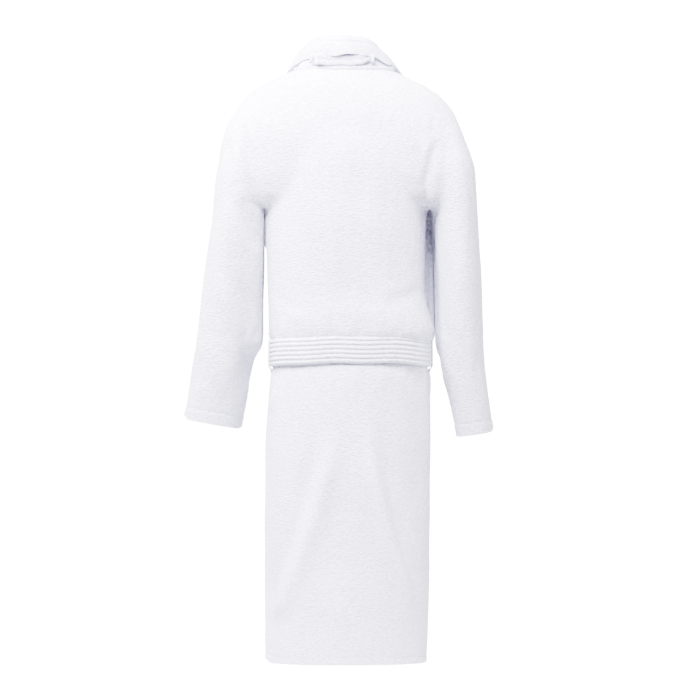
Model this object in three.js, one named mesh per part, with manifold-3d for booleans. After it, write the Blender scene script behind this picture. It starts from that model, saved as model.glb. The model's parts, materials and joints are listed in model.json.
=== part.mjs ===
// A wrap bathrobe of white cotton terry, tied at the waist with its belt.
// Millimetres, +Z up. The front of the robe faces -Y, so the wearer's left side is +X.
// The origin is the middle of the neckline, level with the neck seam, between the shoulders.
import * as THREE from "three";
import { LoftGeometry } from "three/addons/geometries/LoftGeometry.js";
import { mergeVertices } from "three/addons/utils/BufferGeometryUtils.js";
import Module from "manifold-3d";

const wasm = await Module();
wasm.setup();

// ---- Driving dimensions -------------------------------------------------------------------

const seamGap = 0.3; // between cloth pieces that are sewn edge to edge
const layGap = 1.2; // between one layer of cloth and the next that lies on it
const clothThickness = 4; // one layer of terry with its pile
const weld = 0.001; // vertices closer than this are one vertex

const backLength = 1188; // neck seam to the edge of the hem
const hemDepth = 18; // turned-up hem at the bottom
const hemProud = 1; // how far the doubled hem stands out on each side

const neckHalfWidth = 94;
const neckHalfDepth = 60;
const neckTop = 2; // height of the neck seam
const neckRise = 20; // how far the neck forms run on above the seam, to be cut off
const shoulderHalfWidth = 256; // over the tops of both sleeves
const shoulderDrop = 0.75; // vertical share of a layer's thickness on the sloping shoulder

const chestHalfWidth = 160;
const chestHalfDepth = 126;
const bodyForward = 6; // the trunk's middle lies this far behind the origin
const skirtHalfWidth = 166;
const skirtHalfDepth = 128;
const hemHalfWidth = 161;
const hemHalfDepth = 134;

const beltLevel = -566; // middle of the belt
const beltWidth = 53;
const beltThickness = 8;
const beltPinch = 12; // how far the belt draws the waist in
const beltEase = 9; // height over which the cloth goes from full to drawn in

const wrapEdge = -40; // x of the left front's edge, lying on top
const underEdge = 95; // x of the right front's edge, lying beneath
const neckEdgeInset = 6; // from the side of the neck to each front's edge

const lapelWidth = 84; // at the shoulder
const lapelChestWidth = 68; // half way down
const lapelTipWidth = 46; // where it goes under the belt
const lapelThickness = 8;
const lapelOverhang = 7; // how far the roll stands past the front's edge
const lapelBelow = 4; // clearance over the belt

const collarHeight = 72; // above the origin
const collarTopHalfWidth = 62;
const collarTopHalfDepth = 50;
const collarLean = 8; // the collar's top sits this far towards the wearer's left
const collarLayer = 5; // one layer of the collar, which is doubled terry
const collarFront = -12; // y of the join between collar and lapels
const fallEdge = 35; // height of the fall's lower edge at the back
const fallFlare = 24; // how far the fall stands out from the stand at its edge
const fallSlope = 0.25; // rise of the fall's edge towards the back

const loopLeft = 70;
const loopRight = -43;
const loopWidth = 22;
const loopThickness = 4;
const loopStandOff = 8; // room for a hook behind the hanger loop
const loopTop = 28;
const tackLength = 9;

const labelWidth = 52;
const labelHeight = 32;
const labelThickness = 1;
const labelDrop = 14; // below the neck seam

const underarmGap = 8.5; // from the chest's side to the sleeve
const underarmDrop = 256.5; // from the neckline down to the bottom of the armhole
const leftSleeveDrop = 707; // from the neckline down to the middle of the cuff's edge
const rightSleeveDrop = 724;
const sleeveRunOn = 54; // how far the sleeve forms run on below the cuff, to be cut off
const cuffDepth = 25;
const cuffProud = 1.2;

const knotLeft = 38;
const knotRight = -18;
const knotDepth = 40; // front to back
const knotHeight = beltWidth + 13;
const tailLength = 400;
const tailWidth = 50;
const tailThickness = 8;
const tailSplay = 22; // how far each tail wanders sideways over its length
const tailGap = 4; // between the two tails under the knot
const tailClearance = 6; // from the pockets to the tails
const tailLean = 10; // how far the tails' ends hang forward of their tops

const loopStrap = 14; // width of a side belt loop
const loopStrapThickness = 3;
const loopStrapOver = 18; // how far a belt loop runs past the belt, above and below

const pocketNear = 44; // side of the pocket nearest the middle
const pocketFar = 152; // side of the pocket nearest the side seam
const pocketTop = -640;
const pocketHeight = 180;
const pocketRoom = 14; // room for a hand, front to back
const pocketWall = 3;
const pocketSeam = 7; // width of the stitched margin
const pocketHem = 30;

const far = 3000; // beyond every surface of the robe
const ringSegments = 36;
const beltTop = beltLevel + beltWidth / 2;
const beltBottom = beltLevel - beltWidth / 2;
const underarm = chestHalfWidth + underarmGap; // x where the sleeve passes the trunk
const armholeReach = underarm + underarmDrop; // x - z of every point on the armhole seam
const frontNeckEdge = neckHalfWidth - neckEdgeInset; // x where each front leaves the neckline
const waistHalfWidth = chestHalfWidth + 2 - beltPinch;
const waistHalfDepth = chestHalfDepth - beltPinch;

// ---- Solids -------------------------------------------------------------------------------

// A closed three.js geometry as a manifold-3d solid.
function solid(geometry) {
  const bare = geometry.index ? geometry.toNonIndexed() : geometry.clone();
  bare.deleteAttribute("normal");
  bare.deleteAttribute("uv");
  const merged = mergeVertices(bare, weld);
  return new wasm.Manifold(
    new wasm.Mesh({
      numProp: 3,
      vertProperties: new Float32Array(merged.attributes.position.array),
      triVerts: new Uint32Array(merged.index.array),
    }),
  );
}

// A manifold-3d solid as a three.js geometry.
function geometryOf(body) {
  const mesh = body.getMesh();
  const points = [];
  for (let i = 0; i < mesh.numVert; i += 1) {
    const at = i * mesh.numProp;
    points.push(...mesh.vertProperties.subarray(at, at + 3));
  }
  const geometry = new THREE.BufferGeometry();
  geometry.setAttribute("position", new THREE.Float32BufferAttribute(points, 3));
  geometry.setIndex([...mesh.triVerts]);
  geometry.computeVertexNormals();
  return geometry;
}

// A level ring of points: a superellipse about (x, y), tilted so that it rises by slopeX and
// slopeY along each axis. The larger the power, the squarer the ring.
function ring({ z, w, d, x = 0, y = 0, power = 2.4, slopeX = 0, slopeY = 0 }) {
  const points = [];
  for (let i = 0; i < ringSegments; i += 1) {
    const angle = (i / ringSegments) * Math.PI * 2;
    const c = Math.cos(angle);
    const s = Math.sin(angle);
    const dx = w * Math.sign(c) * Math.abs(c) ** (2 / power);
    const dy = d * Math.sign(s) * Math.abs(s) ** (2 / power);
    points.push(new THREE.Vector3(x + dx, y + dy, z + slopeX * dx + slopeY * dy));
  }
  return points;
}

// A closed solid skinned over rings that are listed from the top down or from the bottom up.
function loft(sections) {
  const rising = sections.at(-1)[0].z > sections[0][0].z;
  const ordered = rising ? sections : [...sections].reverse();
  return solid(new LoftGeometry(ordered, { capStart: true, capEnd: true }));
}

// A block of the given corners.
function block(low, high) {
  const size = new THREE.Vector3().subVectors(high, low);
  const geometry = new THREE.BoxGeometry(size.x, size.y, size.z);
  const middle = new THREE.Vector3().addVectors(low, high).multiplyScalar(0.5);
  return solid(geometry.translate(middle.x, middle.y, middle.z));
}

// Everything whose front view lies inside an outline of [x, z] points.
function seenFromFront(outline, near = -far, deep = far) {
  const shape = new THREE.Shape(outline.map(([x, z]) => new THREE.Vector2(x, z)));
  const geometry = new THREE.ExtrudeGeometry(shape, { depth: deep - near, bevelEnabled: false });
  return solid(geometry.rotateX(Math.PI / 2).translate(0, deep, 0));
}

// The same outline on the wearer's other side.
function flipped(outline) {
  return outline.map(([x, z]) => [-x, z]);
}

const backHalf = block(new THREE.Vector3(-far, seamGap / 2, -far), new THREE.Vector3(far, far, far));
const frontHalf = block(new THREE.Vector3(-far, -far, -far), new THREE.Vector3(far, -seamGap / 2, far));

// Everything between two heights.
function between(low, high) {
  return block(new THREE.Vector3(-far, -far, low), new THREE.Vector3(far, far, high));
}

// ---- The forms that every layer of cloth is laid on -----------------------------------------
// Each form takes "out", the distance that the layer lies outside the robe's own surface.

// Shoulders and the tops of the sleeves, from the neck down to the underarm.
function yokeForm(out) {
  const slope = (share) => neckHalfWidth + share * (shoulderHalfWidth - neckHalfWidth);
  const sloping = [
    { z: -20, w: slope(0.27), d: 76 },
    { z: -45, w: slope(0.56), d: 92 },
    { z: -75, w: slope(0.78), d: 106 },
  ];
  const upright = [
    { z: -115, w: shoulderHalfWidth - 13, d: 116 },
    { z: -165, w: shoulderHalfWidth, d: 120 },
    { z: -220, w: shoulderHalfWidth + 7, d: 118 },
    { z: -250, w: shoulderHalfWidth + 5, d: 108 },
  ];
  const neck = { w: neckHalfWidth + out, d: neckHalfDepth + out };
  const rings = [neckTop + neckRise, neckTop + out * shoulderDrop].map((z) => ring({ z, ...neck }));
  for (const row of sloping) {
    const z = row.z + out * shoulderDrop;
    rings.push(ring({ z, w: row.w + out, d: row.d + out, y: bodyForward / 2 }));
  }
  for (const row of upright) {
    rings.push(ring({ z: row.z, w: row.w + out, d: row.d + out, y: bodyForward / 2, power: 2.7 }));
  }
  rings.push(ring({ z: -272 - out, w: shoulderHalfWidth - 8 + out, d: 92 + out, y: bodyForward / 2 }));
  return loft(rings);
}

// Trunk and skirt, down past the hem.
function trunkForm(out) {
  const below = beltBottom - beltEase;
  const skirt = -backLength - below;
  const rows = [
    { z: -70, w: chestHalfWidth - 12, d: 88 },
    { z: -120, w: chestHalfWidth + 2, d: chestHalfDepth - 12 },
    { z: -200, w: chestHalfWidth + 4, d: chestHalfDepth },
    { z: -300, w: chestHalfWidth + 3, d: chestHalfDepth },
    { z: -430, w: chestHalfWidth - 2, d: chestHalfDepth - 4 },
    { z: beltTop + 35, w: chestHalfWidth + 2, d: chestHalfDepth + 2 },
    { z: beltTop + beltEase, w: chestHalfWidth + 2, d: chestHalfDepth },
    { z: beltTop, w: waistHalfWidth, d: waistHalfDepth },
    { z: beltBottom, w: waistHalfWidth, d: waistHalfDepth },
    { z: below, w: chestHalfWidth, d: chestHalfDepth - 4 },
    { z: below + skirt * 0.11, w: skirtHalfWidth - 3, d: skirtHalfDepth - 3 },
    { z: below + skirt * 0.25, w: skirtHalfWidth, d: skirtHalfDepth },
    { z: below + skirt * 0.55, w: skirtHalfWidth - 1, d: skirtHalfDepth + 2 },
    { z: -backLength, w: hemHalfWidth, d: hemHalfDepth },
    { z: -backLength - neckRise, w: hemHalfWidth, d: hemHalfDepth },
  ];
  return loft(rows.map((row) => ring({ z: row.z, w: row.w + out, d: row.d + out, y: bodyForward })));
}

// Each sleeve hangs a little differently: the left one stands out from the side and is rounder,
// the right one hangs closer and is flatter. In each row, reach is how far the sleeve's middle
// lies outside the chest's side.
const sleeves = {
  left: {
    side: 1,
    rows: [
      { z: -140, reach: 36, w: 46, d: 88, y: 3 },
      { z: -210, reach: 54, w: 50, d: 94, y: 2 },
      { z: -293, reach: 63, w: 51, d: 90, y: 0 },
      { z: -413, reach: 74, w: 56, d: 79, y: -5 },
      { z: -534, reach: 82, w: 64, d: 66, y: -13 },
      { z: -606, reach: 96, w: 62, d: 64, y: -20 },
      { z: -678, reach: 109, w: 61, d: 62, y: -27 },
      { z: -leftSleeveDrop - sleeveRunOn, reach: 124, w: 60, d: 62, y: -35 },
    ],
    cuffEnd: { reach: 115, z: -leftSleeveDrop, slope: 0.27 },
  },
  right: {
    side: -1,
    rows: [
      { z: -140, reach: 30, w: 44, d: 88, y: 3 },
      { z: -210, reach: 49, w: 48, d: 94, y: 2 },
      { z: -293, reach: 57, w: 45, d: 92, y: -2 },
      { z: -413, reach: 62, w: 44, d: 88, y: -9 },
      { z: -534, reach: 66, w: 45, d: 80, y: -18 },
      { z: -582, reach: 70, w: 45, d: 79, y: -22 },
      { z: -678, reach: 88, w: 39, d: 78, y: -30 },
      { z: -rightSleeveDrop - sleeveRunOn, reach: 104, w: 37, d: 78, y: -38 },
    ],
    cuffEnd: { reach: 95, z: -rightSleeveDrop, slope: 0.12 },
  },
};

function sleeveForm(sleeve, out) {
  return loft(
    sleeve.rows.map((row) => {
      const size = { w: row.w + out, d: row.d + out };
      const x = (chestHalfWidth + row.reach) * sleeve.side;
      return ring({ z: row.z, x, y: row.y, power: 2.1, ...size });
    }),
  );
}

// The whole robe as one filled form, and a layer of cloth between two such forms.
const formCache = new Map();
function robeForm(out) {
  if (!formCache.has(out)) {
    let whole = yokeForm(out).add(trunkForm(out));
    for (const sleeve of Object.values(sleeves)) whole = whole.add(sleeveForm(sleeve, out));
    formCache.set(out, whole);
  }
  return formCache.get(out);
}

function layer(outside, inside) {
  return robeForm(outside).subtract(robeForm(inside));
}

// ---- Seam lines, as outlines seen from the front ---------------------------------------------

const armholeTop = 60; // height at which the sleeves' outline is closed off
const sleeveOutline = [
  [underarm, -far],
  [underarm, underarm - armholeReach],
  [armholeReach + armholeTop, armholeTop],
  [far, armholeTop],
  [far, -far],
];

// A narrow outline just inside the sleeves', so that trunk and sleeve keep the seam gap.
const trunkOutline = sleeveOutline.map(([x, z], i) => (i < 3 ? [x - seamGap * 1.5, z] : [x, z]));

function sleeveRegion(side) {
  return seenFromFront(side > 0 ? sleeveOutline : flipped(sleeveOutline));
}

const beyondTrunk = seenFromFront(trunkOutline).add(seenFromFront(flipped(trunkOutline)));

// The edge of a front panel: from the neckline aslant to the belt, then straight down.
function frontEdge(neckX, lowX, shift) {
  return [
    [neckX + shift, far],
    [neckX + shift, neckTop],
    [lowX + shift, beltTop],
    [lowX + shift, -far],
  ];
}

// What lies on the wearer's left of the left front's edge, moved sideways by shift.
function leftOfWrap(shift = 0) {
  return seenFromFront([...frontEdge(frontNeckEdge, wrapEdge, shift), [far, -far], [far, far]]);
}

// What lies on the wearer's right of the right front's edge, moved sideways by shift.
function rightOfUnder(shift = 0) {
  return seenFromFront([...frontEdge(-frontNeckEdge, underEdge, shift), [-far, -far], [-far, far]]);
}

// Everything below a sloping line across one sleeve, raised by rise.
function belowLine({ reach, z, slope }, side, rise) {
  const x = chestHalfWidth + reach;
  const span = 150;
  const line = [
    [x - span, z + rise - span * slope],
    [x + span, z + rise + span * slope],
    [x + span, -far],
    [x - span, -far],
  ];
  return seenFromFront(side > 0 ? line : flipped(line));
}

// ---- Body panels --------------------------------------------------------------------------

const panelBottom = -backLength + hemDepth + seamGap;
const hemBand = between(-backLength, -backLength + hemDepth);
const panelBand = between(panelBottom, neckTop);

function backPanel() {
  return layer(0, -clothThickness).intersect(backHalf).intersect(panelBand).subtract(beyondTrunk);
}

function leftFront(outside, inside, band) {
  return layer(outside, inside)
    .intersect(frontHalf)
    .intersect(band)
    .intersect(leftOfWrap())
    .subtract(beyondTrunk);
}

// The right front lies on the robe's surface up to the left front's edge, steps in behind it
// there, and runs on underneath to its own edge.
function rightFront(outside, inside, band) {
  const inner = -clothThickness - layGap;
  const step = 4;
  const onTop = layer(outside, inside).subtract(leftOfWrap(-seamGap));
  const stepIn = layer(outside, inner + inside).subtract(leftOfWrap(-seamGap)).intersect(leftOfWrap(-step));
  const beneath = layer(inner, inner + inside).intersect(leftOfWrap(-step));
  return onTop
    .add(stepIn)
    .add(beneath)
    .intersect(frontHalf)
    .intersect(band)
    .intersect(rightOfUnder())
    .subtract(beyondTrunk);
}

function backHem() {
  return layer(hemProud, -clothThickness - hemProud).intersect(backHalf).intersect(hemBand);
}

// ---- Sleeves --------------------------------------------------------------------------------

function sleeveCloth(sleeve) {
  return layer(0, -clothThickness)
    .intersect(sleeveRegion(sleeve.side))
    .subtract(belowLine(sleeve.cuffEnd, sleeve.side, cuffDepth + seamGap));
}

function cuff(sleeve) {
  return layer(cuffProud, -clothThickness - cuffProud)
    .intersect(sleeveRegion(sleeve.side))
    .intersect(belowLine(sleeve.cuffEnd, sleeve.side, cuffDepth))
    .subtract(belowLine(sleeve.cuffEnd, sleeve.side, 0));
}

// ---- Collar, lapels, hanger loop and label ---------------------------------------------------

const behindLapels = block(new THREE.Vector3(-far, collarFront, -far), new THREE.Vector3(far, far, far));
const beforeCollar = block(
  new THREE.Vector3(-far, -far, -far),
  new THREE.Vector3(far, collarFront - seamGap, far),
);

// The collar's stand as a filled cone that narrows from the neck seam to the top.
function standForm(out, bottom, top) {
  const foot = { w: neckHalfWidth + out, d: neckHalfDepth + out };
  const head = { w: collarTopHalfWidth + out, d: collarTopHalfDepth + out };
  return loft([ring({ z: bottom, ...foot }), ring({ z: top, x: collarLean, y: 4, ...head })]);
}

const standFoot = neckTop + seamGap;
const standTop = collarHeight - collarLayer - layGap;

function collarStand() {
  const wall = standForm(0, standFoot, standTop).subtract(
    standForm(-collarLayer, standFoot - 1, standTop + 1),
  );
  return wall.intersect(behindLapels);
}

// The fall covers the stand's top edge and flares out and down round it.
function collarFall() {
  const deep = neckHalfDepth - 8 + fallFlare;
  const wide = neckHalfWidth - 12 + fallFlare;
  const low = fallEdge - fallSlope * deep;
  const at = { x: collarLean, y: 4 };
  const overStand = collarLayer + layGap * 2;
  const cone = (out, edge, top) => {
    const shoulder = {
      w: collarTopHalfWidth + overStand + out,
      d: collarTopHalfDepth + overStand + out,
    };
    return loft([
      ring({ z: edge, w: wide + out, d: deep + out, slopeY: fallSlope }),
      ring({ z: top - 9, ...shoulder, ...at }),
      ring({ z: top, w: shoulder.w - collarLayer, d: shoulder.d - collarLayer, ...at }),
    ]);
  };
  const under = cone(-collarLayer, low - 0.5, collarHeight - collarLayer);
  const room = standForm(layGap, standFoot, standTop).add(
    standForm(layGap, standFoot + layGap, standTop + layGap),
  );
  const throat = standForm(-collarLayer, standFoot, collarHeight + neckRise);
  return cone(0, low, collarHeight).subtract(under).subtract(room).subtract(throat).intersect(behindLapels);
}

function lapelOutline() {
  const low = beltTop + lapelBelow;
  const share = (beltTop - low) / (beltTop - neckTop);
  const lowEdge = wrapEdge + (frontNeckEdge - wrapEdge) * share;
  const middle = (neckTop + low) / 2;
  const middleEdge = (frontNeckEdge + lowEdge) / 2;
  const top = neckTop + neckRise;
  return [
    [frontNeckEdge - lapelOverhang, top],
    [frontNeckEdge - lapelOverhang, neckTop],
    [lowEdge - lapelOverhang, low],
    [lowEdge - lapelOverhang + lapelTipWidth, low],
    [middleEdge - lapelOverhang + lapelChestWidth, middle],
    [frontNeckEdge + lapelWidth * 0.75, -lapelWidth],
    [frontNeckEdge + lapelWidth, -lapelWidth * 0.4],
    [frontNeckEdge + lapelWidth, top],
  ];
}

function lapelLayer() {
  return layer(layGap + lapelThickness, layGap).intersect(beforeCollar);
}

function leftLapel() {
  return lapelLayer().intersect(seenFromFront(lapelOutline()));
}

// The right lapel goes in under the left one where they cross.
function rightLapel() {
  return lapelLayer()
    .intersect(seenFromFront(flipped(lapelOutline())))
    .subtract(leftOfWrap(-lapelOverhang - layGap));
}

const loopY = neckHalfDepth + loopStandOff; // inner face of the hanger loop

// A strip across the back of the neck, drawn in to the collar at both ends.
function hangerLoop() {
  const bow = 7;
  const inner = [
    [loopRight + seamGap, loopY - bow],
    [loopRight + 12, loopY],
    [loopLeft - 12, loopY],
    [loopLeft - seamGap, loopY - bow],
  ];
  const outer = inner.map(([x, y]) => [x, y + loopThickness]).reverse();
  const shape = new THREE.Shape([...inner, ...outer].map(([x, y]) => new THREE.Vector2(x, y)));
  const strip = new THREE.ExtrudeGeometry(shape, { depth: loopWidth, bevelEnabled: false });
  return solid(strip.translate(0, 0, loopTop - loopWidth));
}

// The sewn-down ends of the hanger loop.
function hangerTack(start, end) {
  const low = new THREE.Vector3(Math.min(start, end), 0, loopTop - loopWidth);
  const high = new THREE.Vector3(Math.max(start, end), loopY - 3, loopTop);
  return block(low, high).subtract(standForm(seamGap, standFoot - 1, standTop));
}

function careLabel() {
  const top = neckTop - labelDrop;
  const tag = seenFromFront([
    [-labelWidth / 2, top - labelHeight],
    [labelWidth / 2, top - labelHeight],
    [labelWidth / 2, top],
    [-labelWidth / 2, top],
  ]);
  const inner = -clothThickness - layGap;
  return layer(inner, inner - labelThickness).intersect(tag).intersect(backHalf);
}

// ---- Belt -----------------------------------------------------------------------------------

const beltInner = layGap;
const knotMiddle = (knotLeft + knotRight) / 2;

// The waist as an upright drum, as tall as the belt and taller by extra at each end.
function waistDrum(out, extra) {
  const size = { w: waistHalfWidth + beltInner + out, d: waistHalfDepth + beltInner + out };
  return loft([
    ring({ z: beltBottom - extra, y: bodyForward, ...size }),
    ring({ z: beltTop + extra, y: bodyForward, ...size }),
  ]);
}

// The belt round the waist, open at the front where the knot closes it.
function beltWrap() {
  const gap = block(
    new THREE.Vector3(knotRight - seamGap, -far, -far),
    new THREE.Vector3(knotLeft + seamGap, 0, far),
  );
  return waistDrum(beltThickness, 0).subtract(waistDrum(0, 1)).subtract(gap);
}

// An upright rounded rectangle in the plane of one x, for the knot.
function knotSection(x, deep, tall) {
  const back = -waistHalfDepth - beltInner + bodyForward;
  const points = [];
  const sides = 16;
  for (let i = 0; i < sides; i += 1) {
    const angle = (i / sides) * Math.PI * 2;
    const c = Math.cos(angle);
    const s = Math.sin(angle);
    const dy = (deep / 2) * Math.sign(c) * Math.abs(c) ** 0.7;
    const dz = (tall / 2) * Math.sign(s) * Math.abs(s) ** 0.7;
    points.push(new THREE.Vector3(x, back - layGap - deep / 2 + dy, beltLevel + dz));
  }
  return points;
}

function beltKnot() {
  const sections = [
    knotSection(knotRight, beltThickness, beltWidth),
    knotSection(knotRight + 10, knotDepth * 0.75, knotHeight * 0.9),
    knotSection(knotMiddle, knotDepth, knotHeight),
    knotSection(knotLeft - 10, knotDepth * 0.75, knotHeight * 0.9),
    knotSection(knotLeft, beltThickness, beltWidth),
  ];
  return solid(new LoftGeometry(sections, { capStart: true, capEnd: true }));
}

const tailTop = beltLevel - knotHeight / 2 - layGap;
const tailY = bodyForward - skirtHalfDepth - pocketRoom - pocketWall - layGap - tailClearance;

// A flat strip that hangs from under the knot and wanders a little sideways.
function beltTail(side) {
  const start = knotMiddle + side * (tailGap / 2);
  const sections = [0, 0.5, 1].map((share) => {
    const near = start + side * tailSplay * share ** 1.5;
    const beyond = near + side * tailWidth * (share === 0 ? 0.8 : 1);
    const low = Math.min(near, beyond);
    const high = Math.max(near, beyond);
    const y = tailY - tailThickness - tailLean * share;
    const z = tailTop - tailLength * share;
    return [
      new THREE.Vector3(low, y, z),
      new THREE.Vector3(high, y, z),
      new THREE.Vector3(high, y + tailThickness, z),
      new THREE.Vector3(low, y + tailThickness, z),
    ];
  });
  return loft(sections);
}

// A strap sewn to the side seam above and below the belt.
function beltLoop(side) {
  const inner = waistHalfWidth + beltInner + beltThickness + layGap;
  const seat = chestHalfWidth + 2 + layGap;
  const from = Math.max(inner, seat) * side;
  const to = from + loopStrapThickness * side;
  return block(
    new THREE.Vector3(Math.min(from, to), bodyForward - loopStrap / 2, beltBottom - loopStrapOver),
    new THREE.Vector3(Math.max(from, to), bodyForward + loopStrap / 2, beltTop + loopStrapOver),
  );
}

// ---- Pockets ----------------------------------------------------------------------------------

function pocketOutline(top, bottom, margin) {
  return [
    [pocketNear + margin, bottom],
    [pocketFar - margin, bottom],
    [pocketFar - margin, top],
    [pocketNear + margin, top],
  ];
}

// A patch pocket, open at the top: its wall stands off the front by the room for a hand, and
// its sides and bottom come in to the front along the stitched margin.
function pocketSolid(side, top, bottom) {
  const face = layGap + pocketRoom + pocketWall;
  const turn = (outline) => seenFromFront(side > 0 ? outline : flipped(outline));
  const patch = layer(face, layGap).intersect(turn(pocketOutline(top, bottom, 0)));
  const floor = pocketTop - pocketHeight + pocketSeam;
  const hollow = layer(layGap + pocketRoom, 0).intersect(turn(pocketOutline(far, floor, pocketSeam)));
  return patch.intersect(frontHalf).subtract(hollow);
}

function pocket(side) {
  return pocketSolid(side, pocketTop - pocketHem - seamGap, pocketTop - pocketHeight);
}

function pocketHemBand(side) {
  return pocketSolid(side, pocketTop, pocketTop - pocketHem);
}

// ---- The robe ---------------------------------------------------------------------------------

const finishes = {
  terry: { color: 0xf2f2f5, roughness: 0.95 },
  collarTerry: { color: 0xf5f5f9, roughness: 0.95 },
  beltTerry: { color: 0xf0f0f4, roughness: 0.95 },
  label: { color: 0xf7f7f7, roughness: 0.7 },
};

const robe = new THREE.Group();

function piece(name, finish, body) {
  const material = new THREE.MeshStandardMaterial({ ...finishes[finish], metalness: 0 });
  const mesh = new THREE.Mesh(geometryOf(body), material);
  mesh.name = name;
  robe.add(mesh);
}

piece("back_panel", "terry", backPanel());
piece("left_front_panel", "terry", leftFront(0, -clothThickness, panelBand));
piece("right_front_panel", "terry", rightFront(0, -clothThickness, panelBand));
piece("back_hem", "terry", backHem());
piece("left_front_hem", "terry", leftFront(hemProud, -clothThickness, hemBand));
piece("right_front_hem", "terry", rightFront(hemProud, -clothThickness, hemBand));

for (const [name, sleeve] of Object.entries(sleeves)) {
  piece(`${name}_sleeve`, "terry", sleeveCloth(sleeve));
  piece(`${name}_cuff_hem`, "terry", cuff(sleeve));
}

piece("collar_stand", "collarTerry", collarStand());
piece("collar_fall", "collarTerry", collarFall());
piece("left_lapel", "collarTerry", leftLapel());
piece("right_lapel", "collarTerry", rightLapel());
piece("hanger_loop", "collarTerry", hangerLoop());
piece("left_hanger_tack", "collarTerry", hangerTack(loopLeft, loopLeft + tackLength));
piece("right_hanger_tack", "collarTerry", hangerTack(loopRight - tackLength, loopRight));
piece("care_label", "label", careLabel());

piece("belt_wrap", "beltTerry", beltWrap());
piece("belt_knot", "beltTerry", beltKnot());
for (const [name, side] of [["left", 1], ["right", -1]]) {
  piece(`${name}_belt_tail`, "beltTerry", beltTail(side));
  piece(`${name}_belt_loop`, "beltTerry", beltLoop(side));
  piece(`${name}_pocket`, "terry", pocket(side));
  piece(`${name}_pocket_hem`, "terry", pocketHemBand(side));
}

export default robe;
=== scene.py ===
"""A white cotton terry bathrobe, tied at the waist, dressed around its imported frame."""
import json
import logging
import math
from collections.abc import Callable, Sequence
from dataclasses import dataclass, field
from enum import Enum

import bmesh
import bpy
import numpy as np
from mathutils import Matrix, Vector
from mathutils.bvhtree import BVHTree


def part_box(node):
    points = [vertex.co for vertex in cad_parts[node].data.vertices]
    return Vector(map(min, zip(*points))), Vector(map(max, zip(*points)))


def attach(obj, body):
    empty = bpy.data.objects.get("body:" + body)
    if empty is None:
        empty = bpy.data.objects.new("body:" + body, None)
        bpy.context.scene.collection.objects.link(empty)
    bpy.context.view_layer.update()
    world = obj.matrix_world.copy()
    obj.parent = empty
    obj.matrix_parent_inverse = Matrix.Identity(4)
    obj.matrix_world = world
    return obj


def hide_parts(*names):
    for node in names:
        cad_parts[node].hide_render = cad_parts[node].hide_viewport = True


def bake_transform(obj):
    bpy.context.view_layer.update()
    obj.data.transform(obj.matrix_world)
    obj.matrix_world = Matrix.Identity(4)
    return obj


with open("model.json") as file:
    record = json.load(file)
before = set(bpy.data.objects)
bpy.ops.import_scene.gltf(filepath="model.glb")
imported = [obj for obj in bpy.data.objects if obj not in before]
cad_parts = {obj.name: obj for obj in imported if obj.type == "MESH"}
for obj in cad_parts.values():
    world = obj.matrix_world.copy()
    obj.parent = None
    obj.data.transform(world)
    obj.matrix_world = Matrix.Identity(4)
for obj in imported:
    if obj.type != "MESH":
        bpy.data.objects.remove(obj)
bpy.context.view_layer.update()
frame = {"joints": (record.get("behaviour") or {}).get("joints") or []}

LOG = logging.getLogger("bathrobe")
MM = 0.001
HEM_RISE = 0.05  # how much the hem rises for each step towards the back
CUFF_DEPTH = 25  # millimetres from a cuff's stitches to its edge
TRUNK_AXIS = 6  # millimetres behind the side seams
STITCH_DROP = 2.5  # millimetres from a band's edge to its stitches

Points = np.ndarray
Piece = bpy.types.Object
Mesh = bpy.types.Mesh
Material = bpy.types.Material
Outline = Sequence[tuple[float, float]]


class Side(Enum):
    """The wearer's left or right, as the sign of x."""

    LEFT = 1
    RIGHT = -1

    def node(self, part: str) -> str:
        """The name of this side's part, such as left_sleeve."""
        return f"{self.name.lower()}_{part}"


def corners(node: str) -> tuple[Points, Points]:
    """A node's lowest and highest corners in the frame, in millimetres."""
    low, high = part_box(node)
    return np.array(low) / MM, np.array(high) / MM


# ---- Shader building ------------------------------------------------------------------------


class Wire:
    """One socket of a shader tree, with arithmetic that adds Math nodes."""

    def __init__(self, tree: "ShaderTree", socket: bpy.types.NodeSocket) -> None:
        """Keeps the socket and the tree that it belongs to."""
        self.tree = tree
        self.socket = socket

    def _math(self, operation: str, first: "Wire | float", second: "Wire | float") -> "Wire":
        """Adds one Math node on two values and returns its result."""
        return self.tree.add("ShaderNodeMath", {"operation": operation}, {0: first, 1: second})

    def __add__(self, other: "Wire | float") -> "Wire":
        """self + other."""
        return self._math("ADD", self, other)

    def __sub__(self, other: "Wire | float") -> "Wire":
        """self - other."""
        return self._math("SUBTRACT", self, other)

    def __rsub__(self, other: float) -> "Wire":
        """other - self."""
        return self._math("SUBTRACT", other, self)

    def __mul__(self, other: "Wire | float") -> "Wire":
        """self * other."""
        return self._math("MULTIPLY", self, other)

    __radd__ = __add__
    __rmul__ = __mul__


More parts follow.
